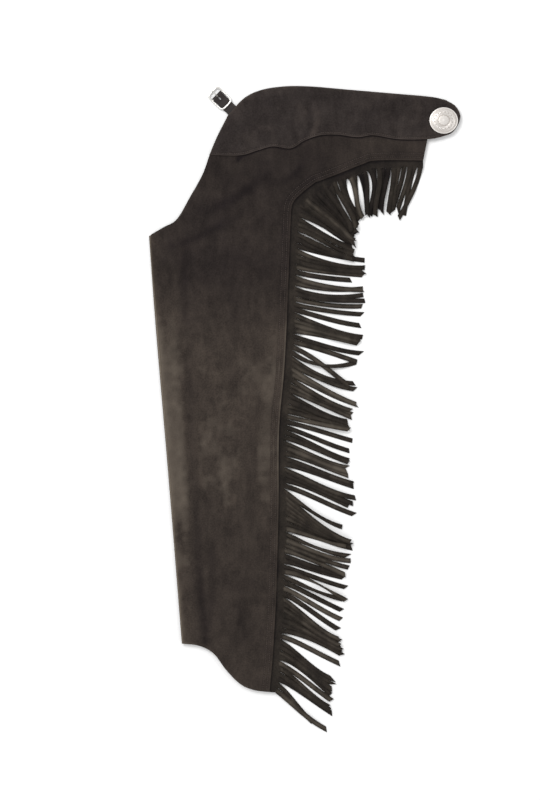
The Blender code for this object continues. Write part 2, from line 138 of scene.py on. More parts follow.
def smooth_line(table: Table, dense: int = 24) -> np.ndarray:
    """A Catmull-Rom curve through a table's rows, in metres.

    Between rows p1 and p2 a point is half of (2 p1 + (p2 - p0) t + (2 p0 - 5 p1 + 4 p2 - p3) t^2
    + (3 p1 - p0 - 3 p2 + p3) t^3).

    Args:
        table: points in millimetres, any number of columns.
        dense: points from one row to the next.

    Returns:
        The curve's points, closely spaced.
    """
    knots = np.asarray(table, dtype=float) * MM
    padded = np.vstack([2 * knots[0] - knots[1], knots, 2 * knots[-1] - knots[-2]])
    p0, p1, p2, p3 = (padded[k : len(padded) - 3 + k, None] for k in range(4))
    t = np.linspace(0, 1, dense, endpoint=False)[None, :, None]
    cubic = 2 * p1 + (p2 - p0) * t + (2 * p0 - 5 * p1 + 4 * p2 - p3) * t**2 + (3 * p1 - p0 - 3 * p2
                                                                               + p3) * t**3
    return np.vstack([0.5 * cubic.reshape(-1, knots.shape[1]), knots[-1:]])


def smooth_curve(table: Table, cells: int) -> np.ndarray:
    """Points evenly spaced along the smooth curve through a table's rows, cells + 1 of them."""
    return at_fractions(smooth_line(table), np.linspace(0, 1, cells + 1))


def line_length(line: np.ndarray) -> float:
    """Length of a polyline."""
    return float(np.linalg.norm(np.diff(line, axis=0), axis=1).sum())


def line_distance(points: np.ndarray, line: np.ndarray) -> tuple[np.ndarray, np.ndarray]:
    """Distance of plan points from a polyline, and how far along it the nearest place is.

    The nearest place on each straight run is where the point's own projection falls, held to the run.

    Args:
        points: plan points, shape (..., 2).
        line: the polyline, shape (n, 2).

    Returns:
        Distances in metres, and fractions of the line's length from 0 to 1, both shaped as the points are.
    """
    flat = points.reshape(-1, 2)
    start, run = line[:-1], np.diff(line, axis=0)
    lengths = np.linalg.norm(run, axis=1)
    before = np.concatenate([[0], np.cumsum(lengths)[:-1]])
    best = np.full(len(flat), np.inf)
    along = np.zeros(len(flat))
    for a, d, n, b in zip(start, run, lengths, before):
        share = np.clip((flat - a) @ d / max(n * n, 1e-12), 0, 1)
        apart = np.linalg.norm(flat - a - share[:, None] * d, axis=1)
        nearer = apart < best
        best[nearer] = apart[nearer]
        along[nearer] = (b + share * n)[nearer]
    shape = points.shape[:-1]
    return best.reshape(shape), (along / lengths.sum()).reshape(shape)


def value_noise(points: np.ndarray, size: float, seed: int) -> np.ndarray:
    """Smooth noise from -1 to 1: random values on a square lattice, blended with an eased weight.

    Args:
        points: plan points, shape (..., 2).
        size: the lattice's spacing in metres.
        seed: which noise.

    Returns:
        One value a point.
    """
    lattice = np.random.default_rng(seed).uniform(-1, 1, (97, 97))
    cell = points / size
    whole = np.floor(cell).astype(int)
    part = eased(cell - whole)
    x0, y0 = whole[..., 0] % 97, whole[..., 1] % 97
    x1, y1 = (x0 + 1) % 97, (y0 + 1) % 97
    low = lattice[x0, y0] * (1 - part[..., 0]) + lattice[x1, y0] * part[..., 0]
    high = lattice[x0, y1] * (1 - part[..., 0]) + lattice[x1, y1] * part[..., 0]
    return low * (1 - part[..., 1]) + high * part[..., 1]


def coons(bottom: np.ndarray, top: np.ndarray, left: np.ndarray, right: np.ndarray) -> np.ndarray:
    """Plan grid between four edges: the blend of left to right, plus bottom to top, less the corners' blend.

    Args:
        bottom: points by columns along the first row.
        top: points by columns along the last row.
        left: points by rows along the first column.
        right: points by rows along the last column.

    Returns:
        Points, shape (rows, columns, 2).
    """
    u = np.linspace(0, 1, len(bottom))[None, :, None]
    v = np.linspace(0, 1, len(left))[:, None, None]
    across = left[:, None] * (1 - u) + right[:, None] * u
    along = bottom[None] * (1 - v) + top[None] * v
    low = bottom[0] * (1 - u) + bottom[-1] * u
    high = top[0] * (1 - u) + top[-1] * u
    return across + along - (low * (1 - v) + high * v)


def lifted(plan: np.ndarray, height: np.ndarray | float) -> np.ndarray:
    """Plan points with their heights."""
    return np.concatenate([plan, np.broadcast_to(height, plan.shape[:-1])[..., None]], axis=-1)


def grid_quads(rows: int, columns: int, first: int = 0, closed: bool = False) -> np.ndarray:
    """Quads of a grid, anticlockwise when columns run +X and rows +Y.

    Args:
        rows: rows of points.
        columns: points in a row.
        first: index of the grid's first point.
        closed: joins the last column to the first.

    Returns:
        Corner indices, shape (quads, 4).
    """
    index = first + np.arange(rows * columns).reshape(rows, columns)
    if closed:
        index = np.concatenate([index, index[:, :1]], axis=1)
    return np.stack([index[:-1, :-1], index[:-1, 1:], index[1:, 1:], index[1:, :-1]], axis=-1).reshape(-1, 4)


def make_mesh(
    name: str, points: np.ndarray, faces: Sequence[np.ndarray], wear_and_painted_light: np.ndarray | None = None,
    smooth: bool = True
) -> bpy.types.Object:
    """A mesh object at the origin, its place in its points.

    Args:
        name: the piece's name.
        points: any shape that ends in 3.
        faces: arrays of corner indices, each with one number of corners.
        wear_and_painted_light: a value a point, kept as the attribute "wear" that the leather's and the
            metal's finishes read, for tone and tarnish and for painted light and shade.
        smooth: shades the faces smooth.

    Returns:
        The new object, linked to the scene.
    """
    points = np.ascontiguousarray(points.reshape(-1, 3))
    mesh = bpy.data.meshes.new(name)
    corners = np.concatenate([block.ravel() for block in faces]).astype(np.int32)
    counts = np.concatenate([np.full(len(block), block.shape[1]) for block in faces])
    mesh.vertices.add(len(points))
    mesh.vertices.foreach_set("co", points.astype(np.float32).ravel())
    mesh.loops.add(len(corners))
    mesh.loops.foreach_set("vertex_index", corners)
    mesh.polygons.add(len(counts))
    mesh.polygons.foreach_set("loop_start", np.concatenate([[0], np.cumsum(counts)[:-1]]).astype(np.int32))
    mesh.polygons.foreach_set("use_smooth", np.full(len(counts), smooth))
    if wear_and_painted_light is not None:
        layer = mesh.attributes.new("wear_and_painted_light", "FLOAT", "POINT")
        layer.data.foreach_set("value", np.asarray(wear_and_painted_light, dtype=np.float32).ravel())
    mesh.update(calc_edges=True)
    mesh.validate()
    made = bpy.data.objects.new(name, mesh)
    bpy.context.scene.collection.objects.link(made)
    return made


def give_wall(piece: bpy.types.Object, thickness: float, offset: float = 0.0) -> None:
    """Gives an open surface its thickness: offset 0 keeps it in the middle, 1 under the wall."""
    wall = piece.modifiers.new("Wall", "SOLIDIFY")
    wall.thickness = thickness
    wall.offset = offset
    wall.use_rim = True
    wall.use_even_offset = False


def settle(piece: bpy.types.Object, finish: "Finish", body: Body,
           nodes: Sequence[str] = ()) -> None:
    """Dresses a piece and tells the frame what it rides on and which solids it stands for.

    Args:
        piece: the piece to dress.
        finish: what its material is made from.
        body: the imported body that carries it.
        nodes: the solids that it stands for.
    """
    piece.data.materials.append(finish.material())
    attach(piece, body.value)
    if nodes:
        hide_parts(*nodes)
    LOG.info("%s rides on %s", piece.name, body.value)


def linear(code: str) -> tuple[float, float, float, float]:
    """An sRGB hex colour as linear light: c / 12.92 below 0.04045, else ((c + 0.055) / 1.055)^2.4."""
    channels = (int(code[k : k + 2], 16) / 255 for k in (1, 3, 5))
    return (*(c / 12.92 if c <= 0.04045 else ((c + 0.055) / 1.055) ** 2.4 for c in channels), 1.0)


def add_node(tree: bpy.types.NodeTree, kind: str, settings: dict | None = None,
             **inputs: object) -> bpy.types.Node:
    """Adds a node with its settings and links.

    Args:
        tree: the material's node tree.
        kind: the node's type.
        settings: values of the node's own properties.
        inputs: for each socket, by its name with _ for a space, a value or the socket that feeds it.

    Returns:
        The new node.
    """
    node = tree.nodes.new(kind)
    for key, value in (settings or {}).items():
        setattr(node, key, value)
    for key, value in inputs.items():
        socket = node.inputs[int(key[1:])] if key[1:].isdigit() else node.inputs[key.replace("_", " ")]
        if isinstance(value, bpy.types.NodeSocket):
            tree.links.new(value, socket)
        else:
            socket.default_value = value
    return node


class Finish:
    """A finish: a name, and a material made once from nodes."""

    name: str

    def dress(self, tree: bpy.types.NodeTree, shader: bpy.types.Node) -> None:
        """Adds the nodes that feed the shader."""
        raise NotImplementedError

    def material(self) -> bpy.types.Material:
        """The finish's material, made when first asked for.

        Returns:
            The material.
        """
        made = bpy.data.materials.get(self.name)
        if made is None:
            made = bpy.data.materials.new(self.name)
            made.use_nodes = True
            self.dress(made.node_tree, made.node_tree.nodes["Principled BSDF"])
        return made


@dataclass(frozen=True)
class Suede(Finish):
    """Split cowhide, dyed in the drum and buffed: dead matt, clouded where the nap lies this way and that."""

    name: str
    deep: str
    light: str
    worn_and_lit: str
    cloud_mm: float = 46.0
    patch_mm: float = 13.0
    grain_mm: float = 2.6
    nap_height_mm: float = 0.35
    sheen: float = 0.12

    def dress(self, tree: bpy.types.NodeTree, shader: bpy.types.Node) -> None:
        """Clouds, patches and grain mix the two dyes; above 0 the wear attribute mixes in a paler colour, for
        rubbed nap and painted highlights, and below 0 it multiplies in a bluish brown, for slow tone and
        painted shade.

        Args:
            tree: the material's node tree.
            shader: its Principled node.
        """
        place = add_node(tree, "ShaderNodeTexCoord").outputs["Object"]
        scale = {key: 1 / (size * MM) for key, size in
                 (("cloud", self.cloud_mm), ("patch", self.patch_mm), ("grain", self.grain_mm))}
        cloud = add_node(tree, "ShaderNodeTexNoise", Vector=place, Scale=scale["cloud"], Detail=3.0,
                         Distortion=0.4)
        streaked = add_node(tree, "ShaderNodeMapping", Vector=place, Scale=(1.0, 0.45, 1.0))
        patch = add_node(tree, "ShaderNodeTexNoise", Vector=streaked.outputs[0], Scale=scale["patch"],
                         Detail=4.0,
                         Roughness=0.62)
        # The nap's real fibres are far under a millimetre: drawn 2.6 mm coarse so that they show.
        grain = add_node(tree, "ShaderNodeTexNoise", Vector=place, Scale=scale["grain"], Detail=3.0,
                         Roughness=0.7)
        broad = add_node(tree, "ShaderNodeMath", {"operation": "MULTIPLY_ADD"}, _0=cloud.outputs["Fac"],
                         _1=0.9,
                         _2=-1.1)
        middle = add_node(tree, "ShaderNodeMath", {"operation": "MULTIPLY_ADD"}, _0=patch.outputs["Fac"],
                          _1=1.05,
                          _2=broad.outputs[0])
        fine = add_node(tree, "ShaderNodeMath", {"operation": "MULTIPLY_ADD"}, _0=grain.outputs["Fac"],
                        _1=1.35,
                        _2=middle.outputs[0])
        share = add_node(tree, "ShaderNodeClamp", Value=fine.outputs[0])
        dye = add_node(tree, "ShaderNodeMix", {"data_type": "RGBA"}, _0=share.outputs[0],
                       _6=linear(self.deep),
                       _7=linear(self.light))
        wear_and_painted_light = add_node(tree, "ShaderNodeAttribute", {"attribute_name": "wear_and_painted_light"}).outputs["Fac"]
        # Painted highlight: the share above 0 lifts ridges and the rounded fold toward the paler colour,
        # along with rubbed nap and paler cut edges.
        worn_and_lit_share = add_node(tree, "ShaderNodeMath", {"operation": "MAXIMUM"}, _0=wear_and_painted_light, _1=0.0)
        worn_and_lit_colour = add_node(tree, "ShaderNodeMix", {"data_type": "RGBA"}, _0=worn_and_lit_share.outputs[0], _6=dye.outputs[2],
                        _7=linear(self.worn_and_lit))
        # Painted shade: the share below 0 multiplies by a bluish colour in creases, stitch grooves, beside
        # the yoke's edge and under fringe strands, along with slow tone.
        tone_and_shade_share = add_node(tree, "ShaderNodeMath", {"operation": "MULTIPLY", "use_clamp": True}, _0=wear_and_painted_light,
                          _1=-1.0)
        tone_and_shade_colour = add_node(tree, "ShaderNodeMix", {"data_type": "RGBA", "blend_type": "MULTIPLY"},
                        _0=tone_and_shade_share.outputs[0],
                        _6=worn_and_lit_colour.outputs[2], _7=(0.24, 0.225, 0.3, 1.0))
        tree.links.new(tone_and_shade_colour.outputs[2], shader.inputs["Base Color"])
        nap = add_node(tree, "ShaderNodeMath", {"operation": "MULTIPLY_ADD"}, _0=patch.outputs["Fac"], _1=0.8,
                       _2=grain.outputs["Fac"])
        bump = add_node(tree, "ShaderNodeBump", Strength=0.7, Distance=self.nap_height_mm * MM,
                        Height=nap.outputs[0])
        tree.links.new(bump.outputs[0], shader.inputs["Normal"])
        shader.inputs["Roughness"].default_value = 0.95
        shader.inputs["Specular IOR Level"].default_value = 0.12
        shader.inputs["Sheen Weight"].default_value = self.sheen
        shader.inputs["Sheen Roughness"].default_value = 0.55
        shader.inputs["Sheen Tint"].default_value = linear("#b9a893")


@dataclass(frozen=True)
class StrapLeather(Finish):
    """Bridle leather, full grain, dyed black and waxed: a low satin gleam over a fine pebble."""

    name: str = "waxed_bridle_leather"
    deep: str = "#191312"
    light: str = "#2c2422"
    pebble_mm: float = 1.4

    def dress(self, tree: bpy.types.NodeTree, shader: bpy.types.Node) -> None:
        """Cells give the pebble, noise the dye's unevenness and the wax's patchy gloss.

        Args:
            tree: the material's node tree.
            shader: its Principled node.
        """
        place = add_node(tree, "ShaderNodeTexCoord").outputs["Object"]
        cells = add_node(tree, "ShaderNodeTexVoronoi", Vector=place, Scale=1 / (self.pebble_mm * MM))
        stain = add_node(tree, "ShaderNodeTexNoise", Vector=place, Scale=160.0, Detail=3.0)
        dye = add_node(tree, "ShaderNodeMix", {"data_type": "RGBA"}, _0=stain.outputs["Fac"],
                       _6=linear(self.deep),
                       _7=linear(self.light))
        gloss = add_node(tree, "ShaderNodeMapRange", Value=stain.outputs["Fac"], To_Min=0.5, To_Max=0.7)
        shader.inputs["Specular IOR Level"].default_value = 0.3
        bump = add_node(tree, "ShaderNodeBump", Strength=0.5, Distance=0.12 * MM,
                        Height=cells.outputs["Distance"])
        tree.links.new(dye.outputs[2], shader.inputs["Base Color"])
        tree.links.new(gloss.outputs[0], shader.inputs["Roughness"])
        tree.links.new(bump.outputs[0], shader.inputs["Normal"])


@dataclass(frozen=True)
class BondedThread(Finish):
    """Bonded nylon thread, dyed to the suede and waxed: twisted plies, a shade glossier than the nap."""

    name: str = "bonded_nylon_thread"
    shade: str = "#3a322c"
    lit: str = "#5a4d42"
    ply_mm: float = 0.8

    def dress(self, tree: bpy.types.NodeTree, shader: bpy.types.Node) -> None:
        """Slanted bands are the plies, in colour and in bump.

        Args:
            tree: the material's node tree.
            shader: its Principled node.
        """
        place = add_node(tree, "ShaderNodeTexCoord").outputs["Object"]
        plies = add_node(tree, "ShaderNodeTexWave", {"bands_direction": "DIAGONAL"}, Vector=place,
                         Scale=1 / (6.28 * self.ply_mm * MM), Distortion=0.6)
        dye = add_node(tree, "ShaderNodeMix", {"data_type": "RGBA"}, _0=plies.outputs["Fac"],
                       _6=linear(self.shade),
                       _7=linear(self.lit))
        bump = add_node(tree, "ShaderNodeBump", Strength=0.4, Distance=0.1 * MM, Height=plies.outputs["Fac"])
        tree.links.new(dye.outputs[2], shader.inputs["Base Color"])
        tree.links.new(bump.outputs[0], shader.inputs["Normal"])
        shader.inputs["Roughness"].default_value = 0.5


@dataclass(frozen=True)
class PlatedMetal(Finish):
    """Cast or struck metal, plated and tumbled: bright where it is high, dull and darker where it is low."""

    name: str
    bright: str
    tarnished: str
    roughness: float
    scratch_mm: float = 1.1

    def dress(self, tree: bpy.types.NodeTree, shader: bpy.types.Node) -> None:
        """The wear attribute holds how sunk a place is: tarnish in the concho's hollows, and painted shade on
        the buckle's frame and prong; noise breaks up the polish.

        Args:
            tree: the material's node tree.
            shader: its Principled node.
        """
        place = add_node(tree, "ShaderNodeTexCoord").outputs["Object"]
        sunk = add_node(tree, "ShaderNodeAttribute", {"attribute_name": "wear_and_painted_light"}).outputs["Fac"]
        haze = add_node(tree, "ShaderNodeTexNoise", Vector=place, Scale=1 / (self.scratch_mm * MM),
                        Detail=4.0)
        plate = add_node(tree, "ShaderNodeMix", {"data_type": "RGBA"}, _0=sunk, _6=linear(self.bright),
                         _7=linear(self.tarnished))
        polish = add_node(tree, "ShaderNodeMapRange", Value=haze.outputs["Fac"], To_Min=self.roughness * 0.75,
                          To_Max=self.roughness * 1.3)
        dull = add_node(tree, "ShaderNodeMath", {"operation": "MULTIPLY_ADD"}, _0=sunk, _1=0.25,
                        _2=polish.outputs[0])
        bump = add_node(tree, "ShaderNodeBump", Strength=0.25, Distance=0.04 * MM, Height=haze.outputs["Fac"])
        tree.links.new(plate.outputs[2], shader.inputs["Base Color"])
        tree.links.new(dull.outputs[0], shader.inputs["Roughness"])
        tree.links.new(bump.outputs[0], shader.inputs["Normal"])
        shader.inputs["Metallic"].default_value = 1.0


LEG_SUEDE = Suede("chocolate_split_suede", deep="#211c1a", light="#433b35", worn_and_lit="#7e7468")
YOKE_SUEDE = Suede("dark_split_suede", deep="#181313", light="#36302e", worn_and_lit="#5a504a")
FRINGE_SUEDE = Suede("cut_fringe_suede", deep="#181614", light="#38322c", worn_and_lit="#696157", cloud_mm=30.0,
                     sheen=0.1)
STRAP_LEATHER = StrapLeather()
THREAD = BondedThread()
NICKEL = PlatedMetal("nickel_plate", bright="#dcdad6", tarnished="#8a8680", roughness=0.22)
SILVER = PlatedMetal("german_silver", bright="#f4f0ec", tarnished="#a39b94", roughness=0.3)


@dataclass(frozen=True)
class Crease:
    """One soft trough or ridge: its line, how far it spreads and how deep it is at each point of the line."""

    line: Table
    spread_mm: float
    depth_mm: Sequence[float]

    def depth(self, points: np.ndarray) -> np.ndarray:
        """Depth at plan points: the line's depth times exp(-(distance / spread)^2), fading at its ends."""
        curve = smooth_line(self.line, 8)
        apart, along = line_distance(points, curve)
        own = np.interp(along, np.linspace(0, 1, len(self.depth_mm)), np.array(self.depth_mm) * MM)
        return own * np.exp(-((apart / (self.spread_mm * MM)) ** 2))


# Creases of the leg, from where the hide was folded and hung (columns of a line: x mm, y mm).
# A depth below 0 is a ridge.
LEG_CREASES = (
    Crease(((-213, 321), (-217, 217), (-210, 120), (-206, 30), (-204, -75), (-195, -180), (-189, -285),
            (-178, -418)),
           9.0, (0.15, 0.7, 0.4, 0.9, 0.5, 0.8, 1.1, 1.3)),
    Crease(((-224, 330), (-236, 200), (-232, 60), (-222, -90), (-212, -240), (-203, -415)), 13.0,
           (-0.1, -0.5, -0.3, -0.7, -0.5, -0.2)),
    Crease(((-160, -205), (-168, -262), (-165, -330), (-172, -400)), 7.0, (0.1, 0.8, 0.7, 0.2)),
    Crease(((-120, -300), (-112, -372), (-118, -452)), 10.0, (0.1, 0.6, 0.1)),
    Crease(((-238, 292), (-196, 306), (-150, 330), (-112, 352)), 8.0, (0.6, 0.9, 0.7, 0.1)),
    Crease(((-205, 352), (-160, 361), (-104, 391), (-60, 428)), 10.0, (0.2, 0.7, 0.8, 0.1)),
    Crease(((-60, 404), (-30, 412), (-4, 436), (8, 474)), 8.0, (0.2, 0.8, 0.7, 0.4)),
    Crease(((-230, 162), (-190, 158), (-158, 166)), 5.0, (0.2, 0.7, 0.1)),
    Crease(((-130, 236), (-126, 160), (-134, 70), (-122, 10)), 12.0, (0.1, 0.5, 0.6, 0.1)),
    Crease(((-92, -40), (-99, -130), (-90, -235)), 11.0, (0.1, 0.6, 0.1)),
    Crease(((-150, -90), (-141, -150), (-150, -196)), 9.0, (-0.1, -0.6, -0.1)),
)
YOKE_CREASES = (
    Crease(((-2, 486), (9, 506), (10, 530), (4, 552)), 4.5, (0.9, 0.8, 0.5, 0.1)),
    Crease(((16, 492), (24, 516), (22, 545)), 7.0, (-0.6, -0.5, -0.1)),
    Crease(((-150, 492), (-104, 512), (-60, 520), (-20, 508)), 9.0, (0.2, 0.6, 0.5, 0.1)),
    Crease(((-96, 545), (-48, 556), (4, 560), (66, 552)), 10.0, (0.1, 0.5, 0.5, 0.1)),
    Crease(((92, 500), (120, 530), (160, 548)), 8.0, (0.6, 0.6, 0.1)),
    Crease(((196, 500), (214, 512), (222, 536)), 6.0, (0.7, 0.5, 0.2)),
)


class Pile:
    """The shared height field: what lies how high over the second leg."""

    def __init__(self) -> None:
        """Works out the silhouette and the edges that pieces share."""
        runs = (
            smooth_curve(HEM, 28), smooth_curve(OUTER_EDGE, 60), smooth_curve(HIP_CORNER, 14),
            smooth_curve(HIP_EDGE, 24),
            smooth_curve(TAIL_EDGE, 4), smooth_curve(YOKE_SEAM[-2:], 2), smooth_curve(YOKE_TIP, 20),
            smooth_curve(YOKE_TOP, 44)[::-1], smooth_curve(YOKE_FRONT, 10)[::-1],
            smooth_curve(FRONT_EDGE, 24)[::-1],
            smooth_curve(INNER_FOLD, 44)[::-1],
        )
        points = np.vstack([run[:-1] for run in runs])
        apart = np.linalg.norm(points - np.roll(points, 1, axis=0), axis=1) > 0.5 * MM
        self.outline = points[apart]
        self.fringed = np.vstack([smooth_line(OUTER_EDGE), smooth_line(HIP_CORNER)[1:],
                                  smooth_line(HIP_EDGE)[1:]])
        self.seam = smooth_curve(YOKE_SEAM, 160)

    def edge_distance(self, points: np.ndarray) -> np.ndarray:
        """Distance of plan points from the silhouette."""
        return line_distance(points, np.vstack([self.outline, self.outline[:1]]))[0]

    def below_crotch(self, points: np.ndarray) -> np.ndarray:
        """1 where the leg's back face lies beneath, falling to 0 above the crotch."""
        corner = np.array(INNER_FOLD[-1]) * MM
        over = points[..., 1] - corner[1] - CROTCH_SLOPE * (points[..., 0] - corner[0])
        return eased(1 - over / CROTCH_BLEND)

    def front(self, points: np.ndarray) -> np.ndarray:
        """Underside of the leg's front face: over the header, crowned over the back face below the crotch."""
        crown = CROWN * eased((self.edge_distance(points) - CROWN_STARTS) / CROWN_REACH)
        return PILE_TOP + 2 * GAP + FRINGE_SKIN + (LEG_SKIN + GAP + crown) * self.below_crotch(points)

    def header(self, points: np.ndarray) -> np.ndarray:
        """Middle of the fringe's header, just under the front face's edge."""
        flat = PILE_TOP + 2 * GAP + FRINGE_SKIN + (LEG_SKIN + GAP) * self.below_crotch(points)
        return flat - GAP - FRINGE_SKIN / 2

    def seam_y(self, x: np.ndarray) -> np.ndarray:
        """Where the yoke's lower seam is at x."""
        return np.interp(x, self.seam[:, 0], self.seam[:, 1])

    def yoke(self, points: np.ndarray) -> np.ndarray:
        """Underside of the yoke: over the leg's lap at the seam, then down onto the second leg."""
        above = points[..., 1] - self.seam_y(points[..., 0])
        on_leg = GAP + FRINGE_SKIN + GAP + LEG_SKIN + 2 * GAP
        return PILE_TOP + on_leg + (YOKE_REST - on_leg) * eased((above - LAP_END) / LAP_FALL)


@dataclass
class SecondLeg:
    """The leg beneath: its folded leather shows as two rolls at the pile's edge over a flat underside."""

    inset_mm: float = 2.2
    flat_inset_mm: float = 2.9
    shoulder_mm: float = 9.0
    notch_at: tuple[float, float] = (-129, 538)
    notch_depth_mm: float = 24
    notch_reach_mm: float = 50

    def profile(self) -> np.ndarray:
        """Inset and height of each stacked outline: two round leather edges, then up to the flat top.

        Each edge is a half circle of the leather's thickness: inset = rim - r cos(a) and
        height = middle + r sin(a).

        Returns:
            Insets and heights in metres, a row an outline.
        """
        angles = np.radians(np.linspace(-70, 70, 6))
        rows = [(self.flat_inset_mm, 0.0)]
        for middle, radius in ((0.8, 0.7), (2.45, 0.72)):
            rows += [(self.inset_mm + radius * 0.8 * (1 - math.cos(a)), middle + radius * math.sin(a))
                     for a in angles]
        rows += [(3.3, 3.35), (4.6, 3.7), (6.6, 3.95), (self.shoulder_mm, 4.1), (12.0, 4.2)]
        return np.array(rows) * MM

    def build(self, pile: Pile) -> bpy.types.Object:
        """Stacks the silhouette, moved in by each row's inset along its mitred corners.

        Args:
            pile: the shared height field.

        Returns:
            The closed piece, standing for the solid second_leg.
        """
        outline = pile.outline
        after = np.roll(outline, -1, axis=0) - outline
        after /= np.linalg.norm(after, axis=1, keepdims=True)
        before = np.roll(after, 1, axis=0)
        inward_after = np.stack([-after[:, 1], after[:, 0]], axis=1)
        mitre = inward_after + np.stack([-before[:, 1], before[:, 0]], axis=1)
        mitre /= (mitre * inward_after).sum(axis=1, keepdims=True)
        joint = np.array(self.notch_at) * MM
        near = 1 - np.linalg.norm(outline - joint, axis=1) / (self.notch_reach_mm * MM)
        notch = self.notch_depth_mm * MM * eased(near)[:, None]
        ripple = 0.25 * MM * value_noise(outline, 21 * MM, 3)[:, None]
        rings = []
        for inset, height in self.profile():
            low = 0.0 if height < 1.8 * MM else 1.0
            rings.append(lifted(outline + mitre * (inset + notch + ripple * (1 if low else -1)), height))
        points = np.array(rings)
        levels, count = points.shape[:2]
        sides = grid_quads(levels, count, closed=True)
        floor = np.arange(count)[::-1][None]
        top = (levels - 1) * count + np.arange(count)[None]
        piece = make_mesh("second_leg_layers", points, [sides, floor, top])
        settle(piece, LEG_SUEDE, Body.CHAPS, ["second_leg"])
        return piece


@dataclass
class StitchRow:
    """A row of lockstitch sunk in its own shallow groove, a set distance in from an edge."""

    line: np.ndarray
    inset_mm: float
    groove_mm: float = 0.45
    spread_mm: float = 1.7

    def depth(self, points: np.ndarray) -> np.ndarray:
        """Depth of the groove: groove times exp(-((distance from the edge - inset) / spread)^2)."""
        apart = line_distance(points, self.line)[0]
        return self.groove_mm * MM * np.exp(-(((apart - self.inset_mm * MM) / (self.spread_mm * MM)) ** 2))


@dataclass
class Panel:
    """A cut piece of suede: a plan grid, laid on the pile, creased and grooved."""

    creases: tuple[Crease, ...]
    rows_of_stitches: tuple[StitchRow, ...]
    swell_mm: float
    seed: int

    def relief(self, points: np.ndarray) -> np.ndarray:
        """How far the leather lies above its even height: a slow swell, less the creases and the grooves.

        Args:
            points: plan points.

        Returns:
            Heights in metres.
        """
        broad = value_noise(points, 85 * MM, self.seed)
        close = value_noise(points, 31 * MM, self.seed + 1)
        swell = 0.6 * broad + 0.4 * close
        out = self.swell_mm * MM * (swell + 0.3)
        for crease in self.creases:
            out = out - crease.depth(points)
        for row in self.rows_of_stitches:
            out = out - row.depth(points)
        return out

    def wear_and_painted_light(self, points: np.ndarray, edge: np.ndarray) -> np.ndarray:
        """Paler (up to 1) along the cut edges and, as painted light, on ridges; darker (below 0), as painted
        shade, in creases and stitch grooves.

        Args:
            points: plan points.
            edge: distance of each from the piece's own edge.

        Returns:
            The value of the attribute that the suede reads.
        """
        relief = sum((crease.depth(points) for crease in self.creases), np.zeros(points.shape[:-1])) / MM
        grooves = sum((row.depth(points) for row in self.rows_of_stitches), np.zeros(points.shape[:-1])) / MM
        rim = np.exp(-edge / (2.2 * MM))
        blotch = value_noise(points, 34 * MM, self.seed + 2) * 0.10 + value_noise(points, 9 * MM,
                                                                                  self.seed + 3) * 0.07
        # Painted light and shade: ridges lighter, creases and stitch grooves darker; the rim term makes the
        # cut edges paler and the blotches are random tone.
        return 0.3 * rim - 0.36 * relief - 0.6 * grooves + blotch


